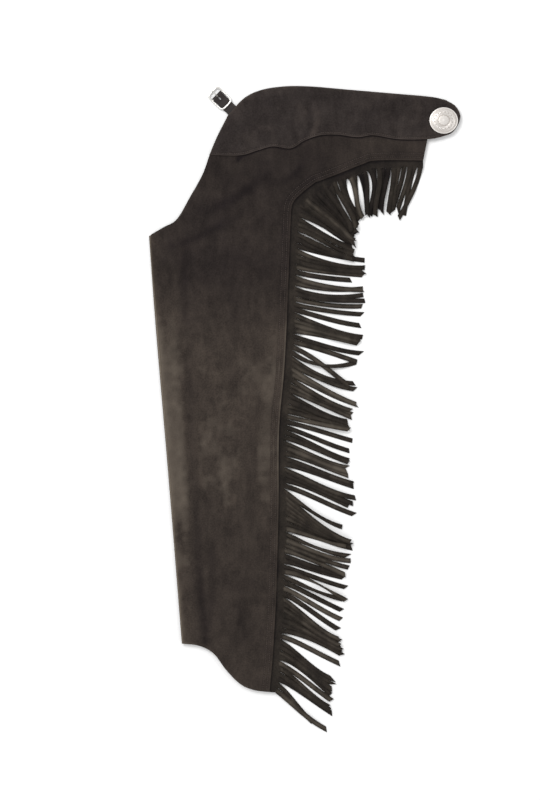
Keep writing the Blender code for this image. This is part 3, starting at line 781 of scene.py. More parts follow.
@dataclass
class Leg:
    """The left leg, one hide: front face, roll at the inner fold and back face, a flattened tube."""

    leg_rows: int = 150
    corner_rows: int = 30
    tail_rows: int = 52
    columns: int = 84
    back_columns: int = 26
    cut: tuple[float, float] = (0.74, 1.01)
    cut_area: float = 0.40
    stitch_insets_mm: tuple[float, ...] = (5.5, 12.5)

    def plan(self, pile: Pile) -> np.ndarray:
        """The front face's plan grid, whose rows sweep from the fold and front edge round to the outer edge.

        Each row is spaced closer toward its two ends, where the edges and the stitches are.

        Args:
            pile: the shared height field.

        Returns:
            Plan points, shape (rows, columns, 2).
        """
        fold = smooth_curve(INNER_FOLD, self.leg_rows)
        front = smooth_curve(FRONT_EDGE, self.corner_rows)[1:]
        lap_x = np.linspace(LAP_START_X, LAP_END_X, self.tail_rows + 1)
        lap = np.stack([lap_x, pile.seam_y(lap_x) + LEG_LAP], axis=1)
        front[-1] = lap[0]
        left = np.vstack([fold, front, lap[1:]])
        corner = smooth_curve(HIP_CORNER, self.corner_rows)[1:]
        right = np.vstack([smooth_curve(OUTER_EDGE, self.leg_rows), corner,
                           smooth_curve(HIP_EDGE, self.tail_rows)[1:]])
        bottom = smooth_curve(HEM, self.columns)
        top = left[-1] + (right[-1] - left[-1]) * np.linspace(0, 1, self.columns + 1)[:, None]
        rows = coons(bottom, top, left, right)
        u = np.linspace(0, 1, self.columns + 1)
        spaced = u - 0.08 * np.sin(2 * np.pi * u) + 0.02 * np.sin(4 * np.pi * u)
        return np.array([at_fractions(row, spaced) for row in rows])

    def shade(self, points: np.ndarray, pile: Pile) -> np.ndarray:
        """Slow changes of tone down the leg, and a painted shadow line beside the yoke's lower edge.

        The hip and the shin lie darker than the knee, the band by the outer seam a little paler.

        Args:
            points: plan points of the front face.
            pile: the shared height field.

        Returns:
            What to add to the attribute that the suede reads.
        """
        y = points[..., 1]
        tail = eased((points[..., 0] - 20 * MM) / (100 * MM))
        hip = eased((y - 90 * MM) / (170 * MM)) * (1 - 0.3 * tail)
        shin = eased((-110 * MM - y) / (150 * MM))
        outer = np.exp(-((pile.edge_distance(points) - 24 * MM) / (16 * MM)) ** 2) * (1 - hip) * (1 - shin)
        # Painted shadow: a thin darker line on the leg just beside the yoke's edge, which shades it.
        seam = np.exp(-(np.abs(y - pile.seam_y(points[..., 0])) / (1.8 * MM)) ** 2)
        return -0.62 * hip - 0.26 * shin + 0.14 * outer * (points[..., 0] > -130 * MM) - 1.3 * seam

    def build(self, pile: Pile) -> tuple[bpy.types.Object, Panel]:
        """Lays the front face over the pile and rolls it under at the fold.

        The roll is a half circle between the two faces: out = centre - r cos(a), height = middle + r sin(a).

        Args:
            pile: the shared height field.

        Returns:
            The piece, and its panel for the stitches to follow.
        """
        rows = tuple(StitchRow(pile.fringed, inset) for inset in self.stitch_insets_mm)
        panel = Panel(LEG_CREASES, rows, swell_mm=0.45, seed=11)
        plan = self.plan(pile)
        count, columns = plan.shape[:2]
        folded = self.leg_rows + 1
        edge = pile.edge_distance(plan)
        calm = eased(edge / (9 * MM))
        under_yoke = eased((pile.seam_y(plan[..., 0]) - plan[..., 1]) / (12 * MM))
        relief = panel.relief(plan)
        height = pile.front(plan) + LEG_SKIN / 2 + np.maximum(relief * calm, -0.95 * MM) * under_yoke
        height = height - 0.35 * MM * np.exp(-edge / (1.5 * MM)) * under_yoke
        front = lifted(plan, np.maximum(height,
                                        pile.front(plan) + LEG_SKIN / 2 - 1.5 * MM * pile.below_crotch(plan)))
        back_share = np.linspace(0, 1, self.back_columns)
        back_plan = np.array([at_fractions(row, back_share * 0.985) for row in plan[:folded]])
        back = lifted(back_plan, PILE_TOP + GAP + LEG_SKIN / 2)
        radius = (front[:folded, 0, 2] - back[:, 0, 2]) / 2
        inward = plan[:folded, 1] - plan[:folded, 0]
        inward /= np.linalg.norm(inward, axis=1, keepdims=True)
        centre = plan[:folded, 0] + inward * (radius + LEG_SKIN / 2)[:, None]
        front[:folded, 0, :2] = centre
        back[:, 0, :2] = centre
        front[:folded, 1, :2] = centre + inward * 2.4 * MM
        back[:, 1, :2] = centre + inward * 6 * MM
        angles = np.radians((66, 44, 22, 0, -22, -44, -66))
        roll = [lifted(centre - inward * (radius * math.cos(a))[:, None],
                       back[:, 0, 2] + radius * (1 + math.sin(a)))
                for a in angles]
        lower = np.stack([*roll, *(back[:, k] for k in range(self.back_columns))], axis=1)
        points = np.vstack([front.reshape(-1, 3), lower.reshape(-1, 3)])
        first, width = count * columns, lower.shape[1]
        row = np.arange(folded - 1)
        joined = np.stack([first + row * width, row * columns, (row + 1) * columns,
                           first + (row + 1) * width], axis=1)
        faces = [grid_quads(count, columns), grid_quads(folded, width, first)[:, ::-1], joined]
        # Painted highlight: the front face is lighter near the inner fold, and the roll and the back face get
        # 0.35, where the rounded fold catches light.
        fold_highlight = 0.55 * np.exp(-line_distance(plan, smooth_line(INNER_FOLD))[0] / (11 * MM))
        wear_and_painted_light = panel.wear_and_painted_light(plan, edge) + fold_highlight + self.shade(plan, pile)
        piece = make_mesh("leg_suede", points, faces,
                          np.concatenate([wear_and_painted_light.ravel(), np.full(lower.size // 3, 0.35)]))
        give_wall(piece, LEG_SKIN)
        settle(piece, LEG_SUEDE, Body.CHAPS, ["leg_panel"])
        return piece, panel


@dataclass
class Yoke:
    """The left half of the yoke, from its scalloped seam to its top edge and round end."""

    columns: int = 190
    rows: int = 64
    cut: tuple[float, float] = (0.46, 0.13)
    cut_area: float = 0.036
    stitch_inset_mm: float = 3.6

    def build(self, pile: Pile) -> tuple[bpy.types.Object, Panel]:
        """Blends the four edges into a plan grid and lays it over the lap.

        Args:
            pile: the shared height field.

        Returns:
            The piece, and its panel for the stitches to follow.
        """
        seam = smooth_line(YOKE_SEAM)
        panel = Panel(YOKE_CREASES, (StitchRow(seam, self.stitch_inset_mm, 0.3, 1.5),), swell_mm=0.4, seed=31)
        plan = coons(smooth_curve(YOKE_SEAM, self.columns), smooth_curve(YOKE_TOP, self.columns),
                     smooth_curve(YOKE_FRONT, self.rows), smooth_curve(YOKE_TIP, self.rows))
        v = np.linspace(0, 1, self.rows + 1)
        spaced = v - 0.07 * np.sin(2 * np.pi * v)
        plan = np.array([at_fractions(column, spaced) for column in plan.transpose(1, 0, 2)]).transpose(1,
                                                                                                        0, 2)
        border = np.vstack([plan[0], plan[1:, -1], plan[-1, -2::-1], plan[-2::-1, 0]])
        edge = line_distance(plan, border)[0]
        calm = eased(edge / (8 * MM))
        concho = np.linalg.norm(plan - np.array(Concho.place_mm) * MM, axis=-1) / MM
        calm = calm * eased((concho - Concho.radius_mm) / 12)
        above = plan[..., 1] - pile.seam_y(plan[..., 0])
        free = eased((above - 30 * MM) / (30 * MM))
        relief = panel.relief(plan)
        sunk = np.where(relief < 0, np.maximum(relief, -0.2 * MM - 0.5 * MM * free), relief)
        groove = sum(row.depth(plan) for row in panel.rows_of_stitches)
        height = pile.yoke(plan) + sunk * calm - np.minimum(groove, 0.15 * MM) * (1 - calm)
        bead = 0.3 * MM * np.exp(-edge / (1.4 * MM))
        # Painted light and shade as on the leg: ridges lighter, creases and the seam's stitch groove darker,
        # with tone and paler cut edges.
        wear_and_painted_light = panel.wear_and_painted_light(plan, edge)
        piece = make_mesh("yoke_suede", lifted(plan, height + YOKE_SKIN / 2 - bead * 0.3),
                          [grid_quads(*plan.shape[:2])], wear_and_painted_light)
        give_wall(piece, YOKE_SKIN)
        settle(piece, YOKE_SUEDE, Body.CHAPS, ["yoke"])
        return piece, panel


# Bundles of the fringe as it lies, from the hem up the leg, round the hip corner and back along the tail.
# Columns: strands in the bundle; the first and the last strand's tip (x mm, y mm, x mm, y mm); bow, how far
# the strands sag to their right at the middle (mm); turn, how far they stand on edge (degrees); lie, 0 under
# its neighbours to 3 over them.
BUNDLES = (
    (1, 39, -577, 39, -577, 8, 10, 2), (1, 14, -563, 14, -563, 4, 20, 0), (3, 48, -549, 44, -535, 4, 8, 1),
    (1, 48, -525, 48, -525, 3, 5, 2), (4, 48, -513, 51, -487, 3, 12, 0), (1, 62, -460, 62, -460, 2, 5, 2),
    (7, 66, -444, 62, -413, 4, 8, 1), (1, 59, -398, 59, -398, 2, 5, 1), (1, 66, -379, 66, -379, 3, 5, 3),
    (1, 67, -363, 67, -363, 3, 6, 1), (1, 69, -342, 69, -342, 6, 62, 2), (1, 73, -345, 73, -345, -6, 66, 3),
    (1, 75, -322, 75, -322, 4, 8, 0), (2, 73, -305, 73, -298, 4, 6, 1), (3, 73, -298, 84, -273, 6, 20, 3),
    (1, 78, -266, 78, -266, 9, 58, 2), (1, 75, -246, 75, -246, 6, 60, 3), (1, 84, -250, 84, -250, 8, 14, 0),
    (3, 82, -248, 82, -240, 8, 14, 1), (2, 73, -237, 80, -239, 14, 16, 2), (1, 69, -212, 69, -212, 13, 58, 3),
    (1, 91, -190, 91, -190, 3, 8, 1), (3, 80, -174, 93, -163, 3, 8, 0), (2, 87, -141, 87, -137, 4, 6, 1),
    (3, 78, -121, 77, -105, 4, 8, 2), (2, 80, -97, 80, -94, 3, 6, 0), (1, 82, -76, 82, -76, 4, 6, 1),
    (1, 84, -58, 84, -58, 3, 6, 0), (1, 79, -39, 79, -39, 3, 8, 2), (4, 79, -36, 78, -22, 5, 20, 1),
    (3, 86, -16, 84, -3, 6, 22, 2), (2, 93, 8, 93, 8, 8, 24, 3), (1, 91, 34, 91, 34, 13, 46, 2),
    (1, 89, 46, 89, 46, 17, 50, 1), (1, 95, 83, 95, 83, 24, 58, 0), (1, 80, 41, 80, 41, -2, 5, 3),
    (2, 96, 87, 102, 99, 3, 6, 1), (4, 95, 116, 105, 128, 4, 8, 2), (1, 100, 149, 100, 149, 5, 5, 0),
    (1, 103, 170, 103, 170, 6, 8, 1), (1, 104, 185, 104, 185, 9, 22, 2), (2, 109, 192, 106, 203, 12, 18, 0),
    (2, 104, 215, 104, 215, 9, 14, 3), (1, 83, 229, 83, 229, 5, 12, 1), (4, 107, 240, 109, 256, 10, 18, 2),
    (2, 105, 265, 89, 269, 8, 18, 0), (2, 87, 269, 86, 275, 7, 14, 1), (2, 87, 282, 87, 290, 4, 16, 2),
    (3, 86, 294, 86, 300, 6, 14, 0), (4, 88, 300, 85, 312, -3, 22, 2), (3, 86, 311, 91, 316, 2, 30, 1),
    (2, 90, 319, 88, 325, 4, 12, 3), (2, 90, 326, 97, 334, 0, 28, 0), (2, 101, 337, 104, 342, 3, 24, 3),
    (2, 109, 345, 113, 346, 1, 14, 0), (2, 118, 346, 122, 347, -4, 10, 1), (1, 129, 349, 129, 349, -3, 12, 2),
    (1, 135, 352, 135, 352, 3, 16, 0), (1, 141, 355, 141, 355, -3, 20, 1), (2, 148, 352, 154, 353, 2, 12, 2),
    (1, 158, 354, 158, 354, -2, 10, 0), (1, 164, 355, 164, 355, -4, 14, 3), (1, 178, 347, 178, 347, 5, 12, 1),
    (1, 172, 344, 172, 344, -2, 8, 2),
)


@dataclass
class Fringe:
    """One long strip of suede, cut into strands to a header that is caught under the leg's edge."""

    header_inside_mm: float = 11.5
    header_outside_mm: float = 12.0
    header_rows: int = 7
    stations: int = 26
    width_mm: float = 8.7
    step_mm: float = 1.32
    fall_mm: float = 22.0
    gather: float = 0.6
    corner_mm: tuple[float, float] = (70.0, 395.0)
    corner_reach_mm: float = 72.0
    seed: int = 5

    def corner(self, plan: np.ndarray) -> np.ndarray:
        """How near points are to the hip's corner, where the strands lie crossed: exp(-d^2 / 2 reach^2).

        Args:
            plan: plan points, the last axis x and y.

        Returns:
            One at the corner, falling to none away from it.
        """
        apart = ((plan - np.array(self.corner_mm) * MM) ** 2).sum(axis=-1)
        return np.exp(-apart / (2 * (self.corner_reach_mm * MM) ** 2))

    def bundle_table(self) -> tuple[np.ndarray, ...]:
        """Spreads the bundles' table over their strands.

        Returns:
            Tips and bows in metres, turns in radians, lies and bundle numbers, a row for each strand.
        """
        rows = []
        for bundle, (count, x0, y0, x1, y1, bow, turn, lie) in enumerate(BUNDLES):
            for share in np.linspace(0, 1, count) if count > 1 else (0.5,):
                rows.append((x0 + (x1 - x0) * share, y0 + (y1 - y0) * share, bow, turn, lie, bundle))
        table = np.array(rows)
        return table[:, :2] * MM, table[:, 2] * MM, np.radians(table[:, 3]), table[:, 4], table[:,
                                                                                                5].astype(int)

    def strip(self, pile: Pile, marks: int) -> tuple[np.ndarray, np.ndarray]:
        """The header's line along the fringed edge, and the way outward from it, turning smoothly.

        Args:
            pile: the shared height field.
            marks: how many points along the line.

        Returns:
            Points and unit directions, shape (marks, 2) each.
        """
        line = at_fractions(pile.fringed, np.linspace(0, 1, marks))
        run = np.gradient(line, axis=0)
        kernel = np.ones(11) / 11
        run = np.stack([np.convolve(np.pad(run[:, k], 5, mode="edge"), kernel, "valid") for k in range(2)],
                       axis=1)
        run /= np.linalg.norm(run, axis=1, keepdims=True)
        return line, np.stack([run[:, 1], -run[:, 0]], axis=1)

    def paths(self, roots: np.ndarray, out: np.ndarray, rng: np.random.Generator) -> np.ndarray:
        """Centre lines of the strands in plan, as cubic Bezier curves.

        A curve leaves the header along a blend of outward and the way to its tip, and its middle is moved
        sideways by its bow: p = (1-t)^3 r + 3 (1-t)^2 t a + 3 (1-t) t^2 b + t^3 tip.

        Args:
            roots: where each strand leaves the header.
            out: the way outward there.
            rng: the fringe's own random numbers.

        Returns:
            Points, shape (strands, stations, 2).
        """
        tips, bow, _, _, bundle = self.bundle_table()
        corner = self.corner(roots)[:, None]
        loose = 1 + 3.4 * corner
        tips = tips + rng.normal(0, 1.1 * MM, tips.shape) * loose
        span = tips - roots
        reach = np.linalg.norm(span, axis=1, keepdims=True)
        way = span / reach
        side = np.stack([way[:, 1], -way[:, 0]], axis=1)
        leave = out * 0.45 + way * 0.55
        leave /= np.linalg.norm(leave, axis=1, keepdims=True)
        wobble = rng.normal(0, 1.0 * MM, (2, len(roots), 1)) * (2 * loose - 1)
        a = roots + leave * reach * 0.3 + side * (bow[:, None] * 0.9 + wobble[0])
        b = roots + span * 0.68 + side * (bow[:, None] * 0.8 + wobble[1])
        size = np.bincount(bundle)[bundle][:, None]
        middle = np.stack([np.bincount(bundle, b[:, k]) for k in range(2)], axis=1)[bundle] / size
        b = b + (middle - b) * self.gather * (1 - 0.85 * corner)
        middle = np.stack([np.bincount(bundle, a[:, k]) for k in range(2)], axis=1)[bundle] / size
        a = a + (middle - a) * self.gather * 0.45
        t = np.linspace(0, 1, self.stations)[None, :, None]
        r, a, b, tips = roots[:, None], a[:, None], b[:, None], tips[:, None]
        return (1 - t) ** 3 * r + 3 * (1 - t) ** 2 * t * a + 3 * (1 - t) * t**2 * b + t**3 * tips

    def heights(self, paths: np.ndarray, start: np.ndarray, tilt: np.ndarray, lie: np.ndarray) -> np.ndarray:
        """Middle of each strand along its length: it falls to the floor, or lies on the strands already down.

        Strands go down in the order of their lie. Each needs a step of height over every earlier strand that
        is nearer than a width, and the needs are spread along the strand so that it bends softly over them.

        Args:
            paths: plan points of the strands.
            start: the header's height at each root.
            tilt: the turn on edge at each point, in radians.
            lie: the order in which the bundles lie.

        Returns:
            Heights, shape (strands, stations).
        """
        strands, stations = paths.shape[:2]
        half = self.width_mm * MM / 2
        floor = FRINGE_SKIN / 2 + 0.1 * MM + half * np.abs(np.sin(tilt))
        travelled = np.concatenate(
            [np.zeros((strands, 1)), np.cumsum(np.linalg.norm(np.diff(paths, axis=1), axis=2), axis=1)],
            axis=1)
        fall = 1 - eased(travelled / (self.fall_mm * MM))
        need = floor.copy()
        order = np.lexsort((np.arange(strands) % 2, lie))
        placed_points, placed_tops = np.empty((0, 2)), np.empty(0)
        kernel = np.array([0.6, 0.9, 1.0, 0.9, 0.6])
        for k in order:
            apart = np.linalg.norm(paths[k][:, None] - placed_points[None], axis=2)
            over = np.where(apart < half * 1.86, placed_tops[None], 0.0)
            raised = over.max(axis=1, initial=0.0)
            raised = np.where(travelled[k] < 9 * MM, 0.0, raised)
            spread = np.pad(raised, 2, mode="edge")
            raised = np.maximum.reduce([spread[j : j + stations] * kernel[j] for j in range(5)])
            need[k] = np.maximum(floor[k], raised + half * 0.5 * np.abs(np.sin(tilt[k])))
            soft = np.convolve(np.pad(need[k], 2, mode="edge"), np.array([1, 2, 3, 2, 1]) / 9, "valid")
            need[k] = np.maximum(need[k] * 0.6 + soft * 0.4, floor[k])
            placed_points = np.vstack([placed_points, paths[k]])
            placed_tops = np.concatenate([placed_tops, need[k] + self.step_mm * MM])
        return need * (1 - fall) + np.maximum(start[:, None], 0.0) * fall

    def build(self, pile: Pile) -> bpy.types.Object:
        """Makes the header and its strands as one surface, three points across a strand.

        A strand's edges are its centre, plus and minus half its width times (side cos(turn), up sin(turn)),
        and its last row is cut aslant.

        Args:
            pile: the shared height field.

        Returns:
            The piece, standing for both solids of the fringe's reach.
        """
        rng = np.random.default_rng(self.seed)
        _, _, turn, lie, _ = self.bundle_table()
        strands = len(turn)
        line, out = self.strip(pile, 2 * strands + 1)
        reach = np.linspace(-self.header_inside_mm, self.header_outside_mm, self.header_rows) * MM
        uneven = rng.normal(0, 1.6 * MM, 2 * strands + 1)
        header_plan = np.array([line + out * (r + (uneven * (r > reach[-2]))[:, None]) for r in reach])
        beyond = eased((reach - 1 * MM) / (26 * MM))[:, None]
        top = pile.header(header_plan)
        flat = pile.header(line)[None]
        header_z = np.where(reach[:, None] < 0, top, flat) * (1 - 0.42 * beyond)
        roots = header_plan[-1, 1::2]
        paths = self.paths(roots, out[1::2], rng)
        lie = lie + 2.4 * self.corner(roots) * rng.uniform(-1, 1, strands)
        t = np.linspace(0, 1, self.stations)[None]
        sway = rng.uniform(-1, 1, (2, strands, 1))
        bell = np.sin(np.pi * np.clip(t * 1.15 - 0.12 + 0.1 * sway[0], 0, 1))
        tilt = turn[:, None] * bell * np.sign(sway[1]) * eased(t / 0.3)
        tilt = tilt + np.radians(5) * np.sin(2 * np.pi * (t + sway[0])) * eased(t / 0.3)
        z = self.heights(paths, header_z[-1, 1::2], tilt, lie)
        along = np.gradient(paths, axis=1)
        along /= np.linalg.norm(along, axis=2, keepdims=True)
        side = np.stack([-along[..., 1], along[..., 0]], axis=-1)
        half = self.width_mm * MM / 2 * (1 + 0.05 * sway[1]) * (1 - 0.05 * t)
        across = np.concatenate([side * (half * np.cos(tilt))[..., None], (half * np.sin(tilt))[..., None]],
                                axis=2)
        centre = lifted(paths, z + 0.12 * MM)
        edges = np.stack([centre - across, centre, centre + across], axis=2)
        edges[:, :, 1, 2] += 0.22 * MM * np.cos(tilt)
        slant = rng.uniform(-0.42, 0.42, (strands, 1)) * self.width_mm * MM
        slant[rng.uniform(size=strands) < 0.3] *= 2.1
        slope = np.array([-1, 0, 1]) * slant
        edges[:, -1, :, :2] += along[:, -1][:, None] * slope[..., None]
        edges[:, -2, :, :2] += along[:, -2][:, None] * slope[..., None] * 0.6
        edges[:, :, :, 2] = np.maximum(edges[:, :, :, 2], FRINGE_SKIN / 2 + 0.02 * MM)
        return self.join(pile, lifted(header_plan, header_z), edges, lie)

    def join(self, pile: Pile, header: np.ndarray, edges: np.ndarray, lie: np.ndarray) -> bpy.types.Object:
        """Sews the strands onto the header's last row, whose points they share.

        Args:
            pile: the shared height field.
            header: the header's points, shape (rows, 2 strands + 1, 3).
            edges: the strands' points, shape (strands, stations, 3, 3).
            lie: the order in which the strands lie, which shades the lower ones.

        Returns:
            The piece, with its thickness.
        """
        rows, columns = header.shape[:2]
        strands, stations = edges.shape[:2]
        own = edges[:, 1:]
        first = rows * columns
        index = np.empty((strands, stations, 3), dtype=int)
        index[:, 0] = (rows - 1) * columns + np.arange(strands)[:, None] * 2 + np.array([0, 1, 2])
        index[:, 1:] = first + np.arange(own[..., 0].size).reshape(strands, stations - 1, 3)
        cells = np.stack([index[:, :-1, :-1], index[:, :-1, 1:], index[:, 1:, 1:], index[:, 1:, :-1]],
                         axis=-1)
        points = np.vstack([header.reshape(-1, 3), own.reshape(-1, 3)])
        sheet = grid_quads(rows, columns)
        plan = points[:, :2]
        shade = value_noise(plan, 26 * MM, 61) * 0.16 + value_noise(plan, 7 * MM, 62) * 0.14
        own_shade = np.random.default_rng(self.seed + 1).normal(0, 0.11, strands)
        shade[first:] += np.repeat(own_shade, (stations - 1) * 3)
        # Painted light: each strand lighter along its middle and darker along its two edges, as if lit on its
        # crown.
        shade[first:] += np.tile(np.array([-0.16, 0.1, -0.16]), strands * (stations - 1))
        # Painted shade: strands that lie under others are darker, those on top lighter.
        shade[first:] += np.repeat((lie - 1.6) * 0.15, (stations - 1) * 3)
        # Painted shadow: the header is darker all over and darkest along the leg's edge, which shades it.
        shade[:first] -= 0.22 + 0.75 * np.exp(-line_distance(plan[:first], pile.fringed)[0] / (2.5 * MM))
        # Painted shade: darker at the hip's corner, where crossed strands shade each other.
        shade -= 0.5 * self.corner(plan)
        piece = make_mesh("fringe_suede", points, [sheet[:, ::-1], cells.reshape(-1, 4)[:, ::-1]], shade)
        give_wall(piece, FRINGE_SKIN)
        settle(piece, FRINGE_SUEDE, Body.CHAPS, ["leg_fringe", "hip_fringe"])
        return piece


def tube(path: np.ndarray, radius: np.ndarray | float, sides: int, closed: bool, flat: float = 1.0) -> tuple:
    """A round section carried along a path: point = centre + r (cos(a) level + flat sin(a) up).

    Args:
        path: centre points, shape (n, 3).
        radius: the section's radius, one value or one for each point.
        sides: points round the section.
        closed: joins the path's ends.
        flat: height of the section over its width.

    Returns:
        Points, shape (n, sides, 3), and a list of face arrays with caps on an open path.
    """
    if closed:
        run = np.roll(path, -1, axis=0) - np.roll(path, 1, axis=0)
    else:
        run = np.gradient(path, axis=0)
    run /= np.linalg.norm(run, axis=1, keepdims=True)
    reference = np.where(np.abs(run[:, 2:]) > 0.9, np.array([[0.0, 1.0, 0.0]]), np.array([[0.0, 0.0, 1.0]]))
    level = np.cross(run, reference)
    level /= np.linalg.norm(level, axis=1, keepdims=True)
    up = np.cross(level, run)
    angles = np.linspace(0, 2 * np.pi, sides, endpoint=False)
    size = np.broadcast_to(radius, (len(path),))[:, None, None]
    ring = level[:, None] * np.cos(angles)[None, :, None] + up[:, None] * flat * np.sin(angles)[None, :, None]
    points = path[:, None] + ring * size
    n = len(path)
    index = np.arange(n * sides).reshape(n, sides)
    index = np.concatenate([index, index[:, :1]], axis=1)
    if closed:
        index = np.concatenate([index, index[:1]], axis=0)
    faces = [np.stack([index[:-1, :-1], index[1:, :-1], index[1:, 1:], index[:-1, 1:]], axis=-1).reshape(-1,
                                                                                                         4)]
    if not closed:
        faces += [index[:1, :-1], index[-1:, :-1][:, ::-1]]
    return points, faces


@dataclass
class Stitching:
    """Lockstitch: short round threads end to end, each sunk at both ends."""

    length_mm: float = 3.1
    pitch_mm: float = 4.0
    thread_mm: float = 0.42
    lift_mm: float = 0.16

    def build(self, name: str, centres: np.ndarray, ways: np.ndarray, slot: Slot) -> bpy.types.Object:
        """One joined mesh of all the stitches, made as one array of capsules.

        Along a stitch, s from -1 to 1, the thread's middle rises as lift (1 - 2 s^2) and its radius goes as
        (1 - s^4)^(1/2).

        Args:
            name: the piece's name.
            centres: the middle of each stitch on the leather's surface.
            ways: unit directions along the row, in space.
            slot: the record's slot; not used.

        Returns:
            The piece.
        """
        s = np.array([-1.0, -0.8, -0.35, 0.35, 0.8, 1.0])
        thick = np.sqrt(np.clip(1 - s**4, 0.03, 1)) * self.thread_mm * MM / 2 * 1.25
        rise = self.lift_mm * MM * (1 - 2 * s**2)
        angles = np.linspace(0, 2 * np.pi, 6, endpoint=False)
        side = np.stack([-ways[:, 1], ways[:, 0], np.zeros(len(ways))], axis=1)
        side /= np.linalg.norm(side, axis=1, keepdims=True)
        up = np.array([0.0, 0.0, 1.0])
        middle = centres[:, None] + ways[:, None] * (s * self.length_mm * MM / 2)[None, :, None]
        middle = middle + up * rise[None, :, None]
        ring = side[:, None, None] * (np.cos(angles) * thick[:, None])[None, ..., None]
        ring = ring + up * (np.sin(angles) * thick[:, None])[None, ..., None]
        points = middle[:, :, None] + ring
        count, levels, sides = points.shape[:3]
        index = np.arange(count * levels * sides).reshape(count, levels, sides)
        around = np.concatenate([index, index[:, :, :1]], axis=2)
        cells = np.stack([around[:, :-1, :-1], around[:, 1:, :-1], around[:, 1:, 1:], around[:, :-1, 1:]],
                         axis=-1)
        piece = make_mesh(name, points, [cells.reshape(-1, 4)[:, ::-1], index[:, 0], index[:, -1][:, ::-1]])
        settle(piece, THREAD, Body.CHAPS)
        return piece

    def along(self, line: np.ndarray, inset: float, surface: bpy.types.Object) -> tuple[np.ndarray,
                                                                                        np.ndarray]:
        """Stitches along a line moved in by an inset, dropped onto a piece's upper surface.

        Args:
            line: the edge, as plan points.
            inset: distance in metres to the line's left.
            surface: the piece, which is read with its wall.

        Returns:
            Middles and directions of the stitches.
        """
        run = np.gradient(line, axis=0)
        run /= np.linalg.norm(run, axis=1, keepdims=True)
        kernel = np.ones(9) / 9
        run = np.stack([np.convolve(np.pad(run[:, k], 4, mode="edge"), kernel, "valid") for k in range(2)],
                       axis=1)
        run /= np.linalg.norm(run, axis=1, keepdims=True)
        moved = line + np.stack([-run[:, 1], run[:, 0]], axis=1) * inset
        length = line_length(moved)
        count = int((length - 6 * MM) / (self.pitch_mm * MM))
        shares = (3 * MM + (np.arange(count) + 0.5) * self.pitch_mm * MM) / length
        half = self.length_mm * MM / 2 / length
        ends = np.stack([at_fractions(moved, shares - half), at_fractions(moved, shares + half)], axis=1)
        graph = bpy.context.evaluated_depsgraph_get()
        seen = surface.evaluated_get(graph)
        tops = np.array([[(*end, drop_on(seen, end)) for end in pair] for pair in ends])
        ways = tops[:, 1] - tops[:, 0]
        return tops.mean(axis=1), ways / np.linalg.norm(ways, axis=1, keepdims=True)


def drop_on(surface: bpy.types.Object, place: np.ndarray) -> float:
    """Height of a piece's upper surface at a plan point, found by a ray straight down."""
    hit, where, _, _ = surface.ray_cast((float(place[0]), float(place[1]), 0.1), (0.0, 0.0, -1.0))
    return where.z if hit else PILE_TOP


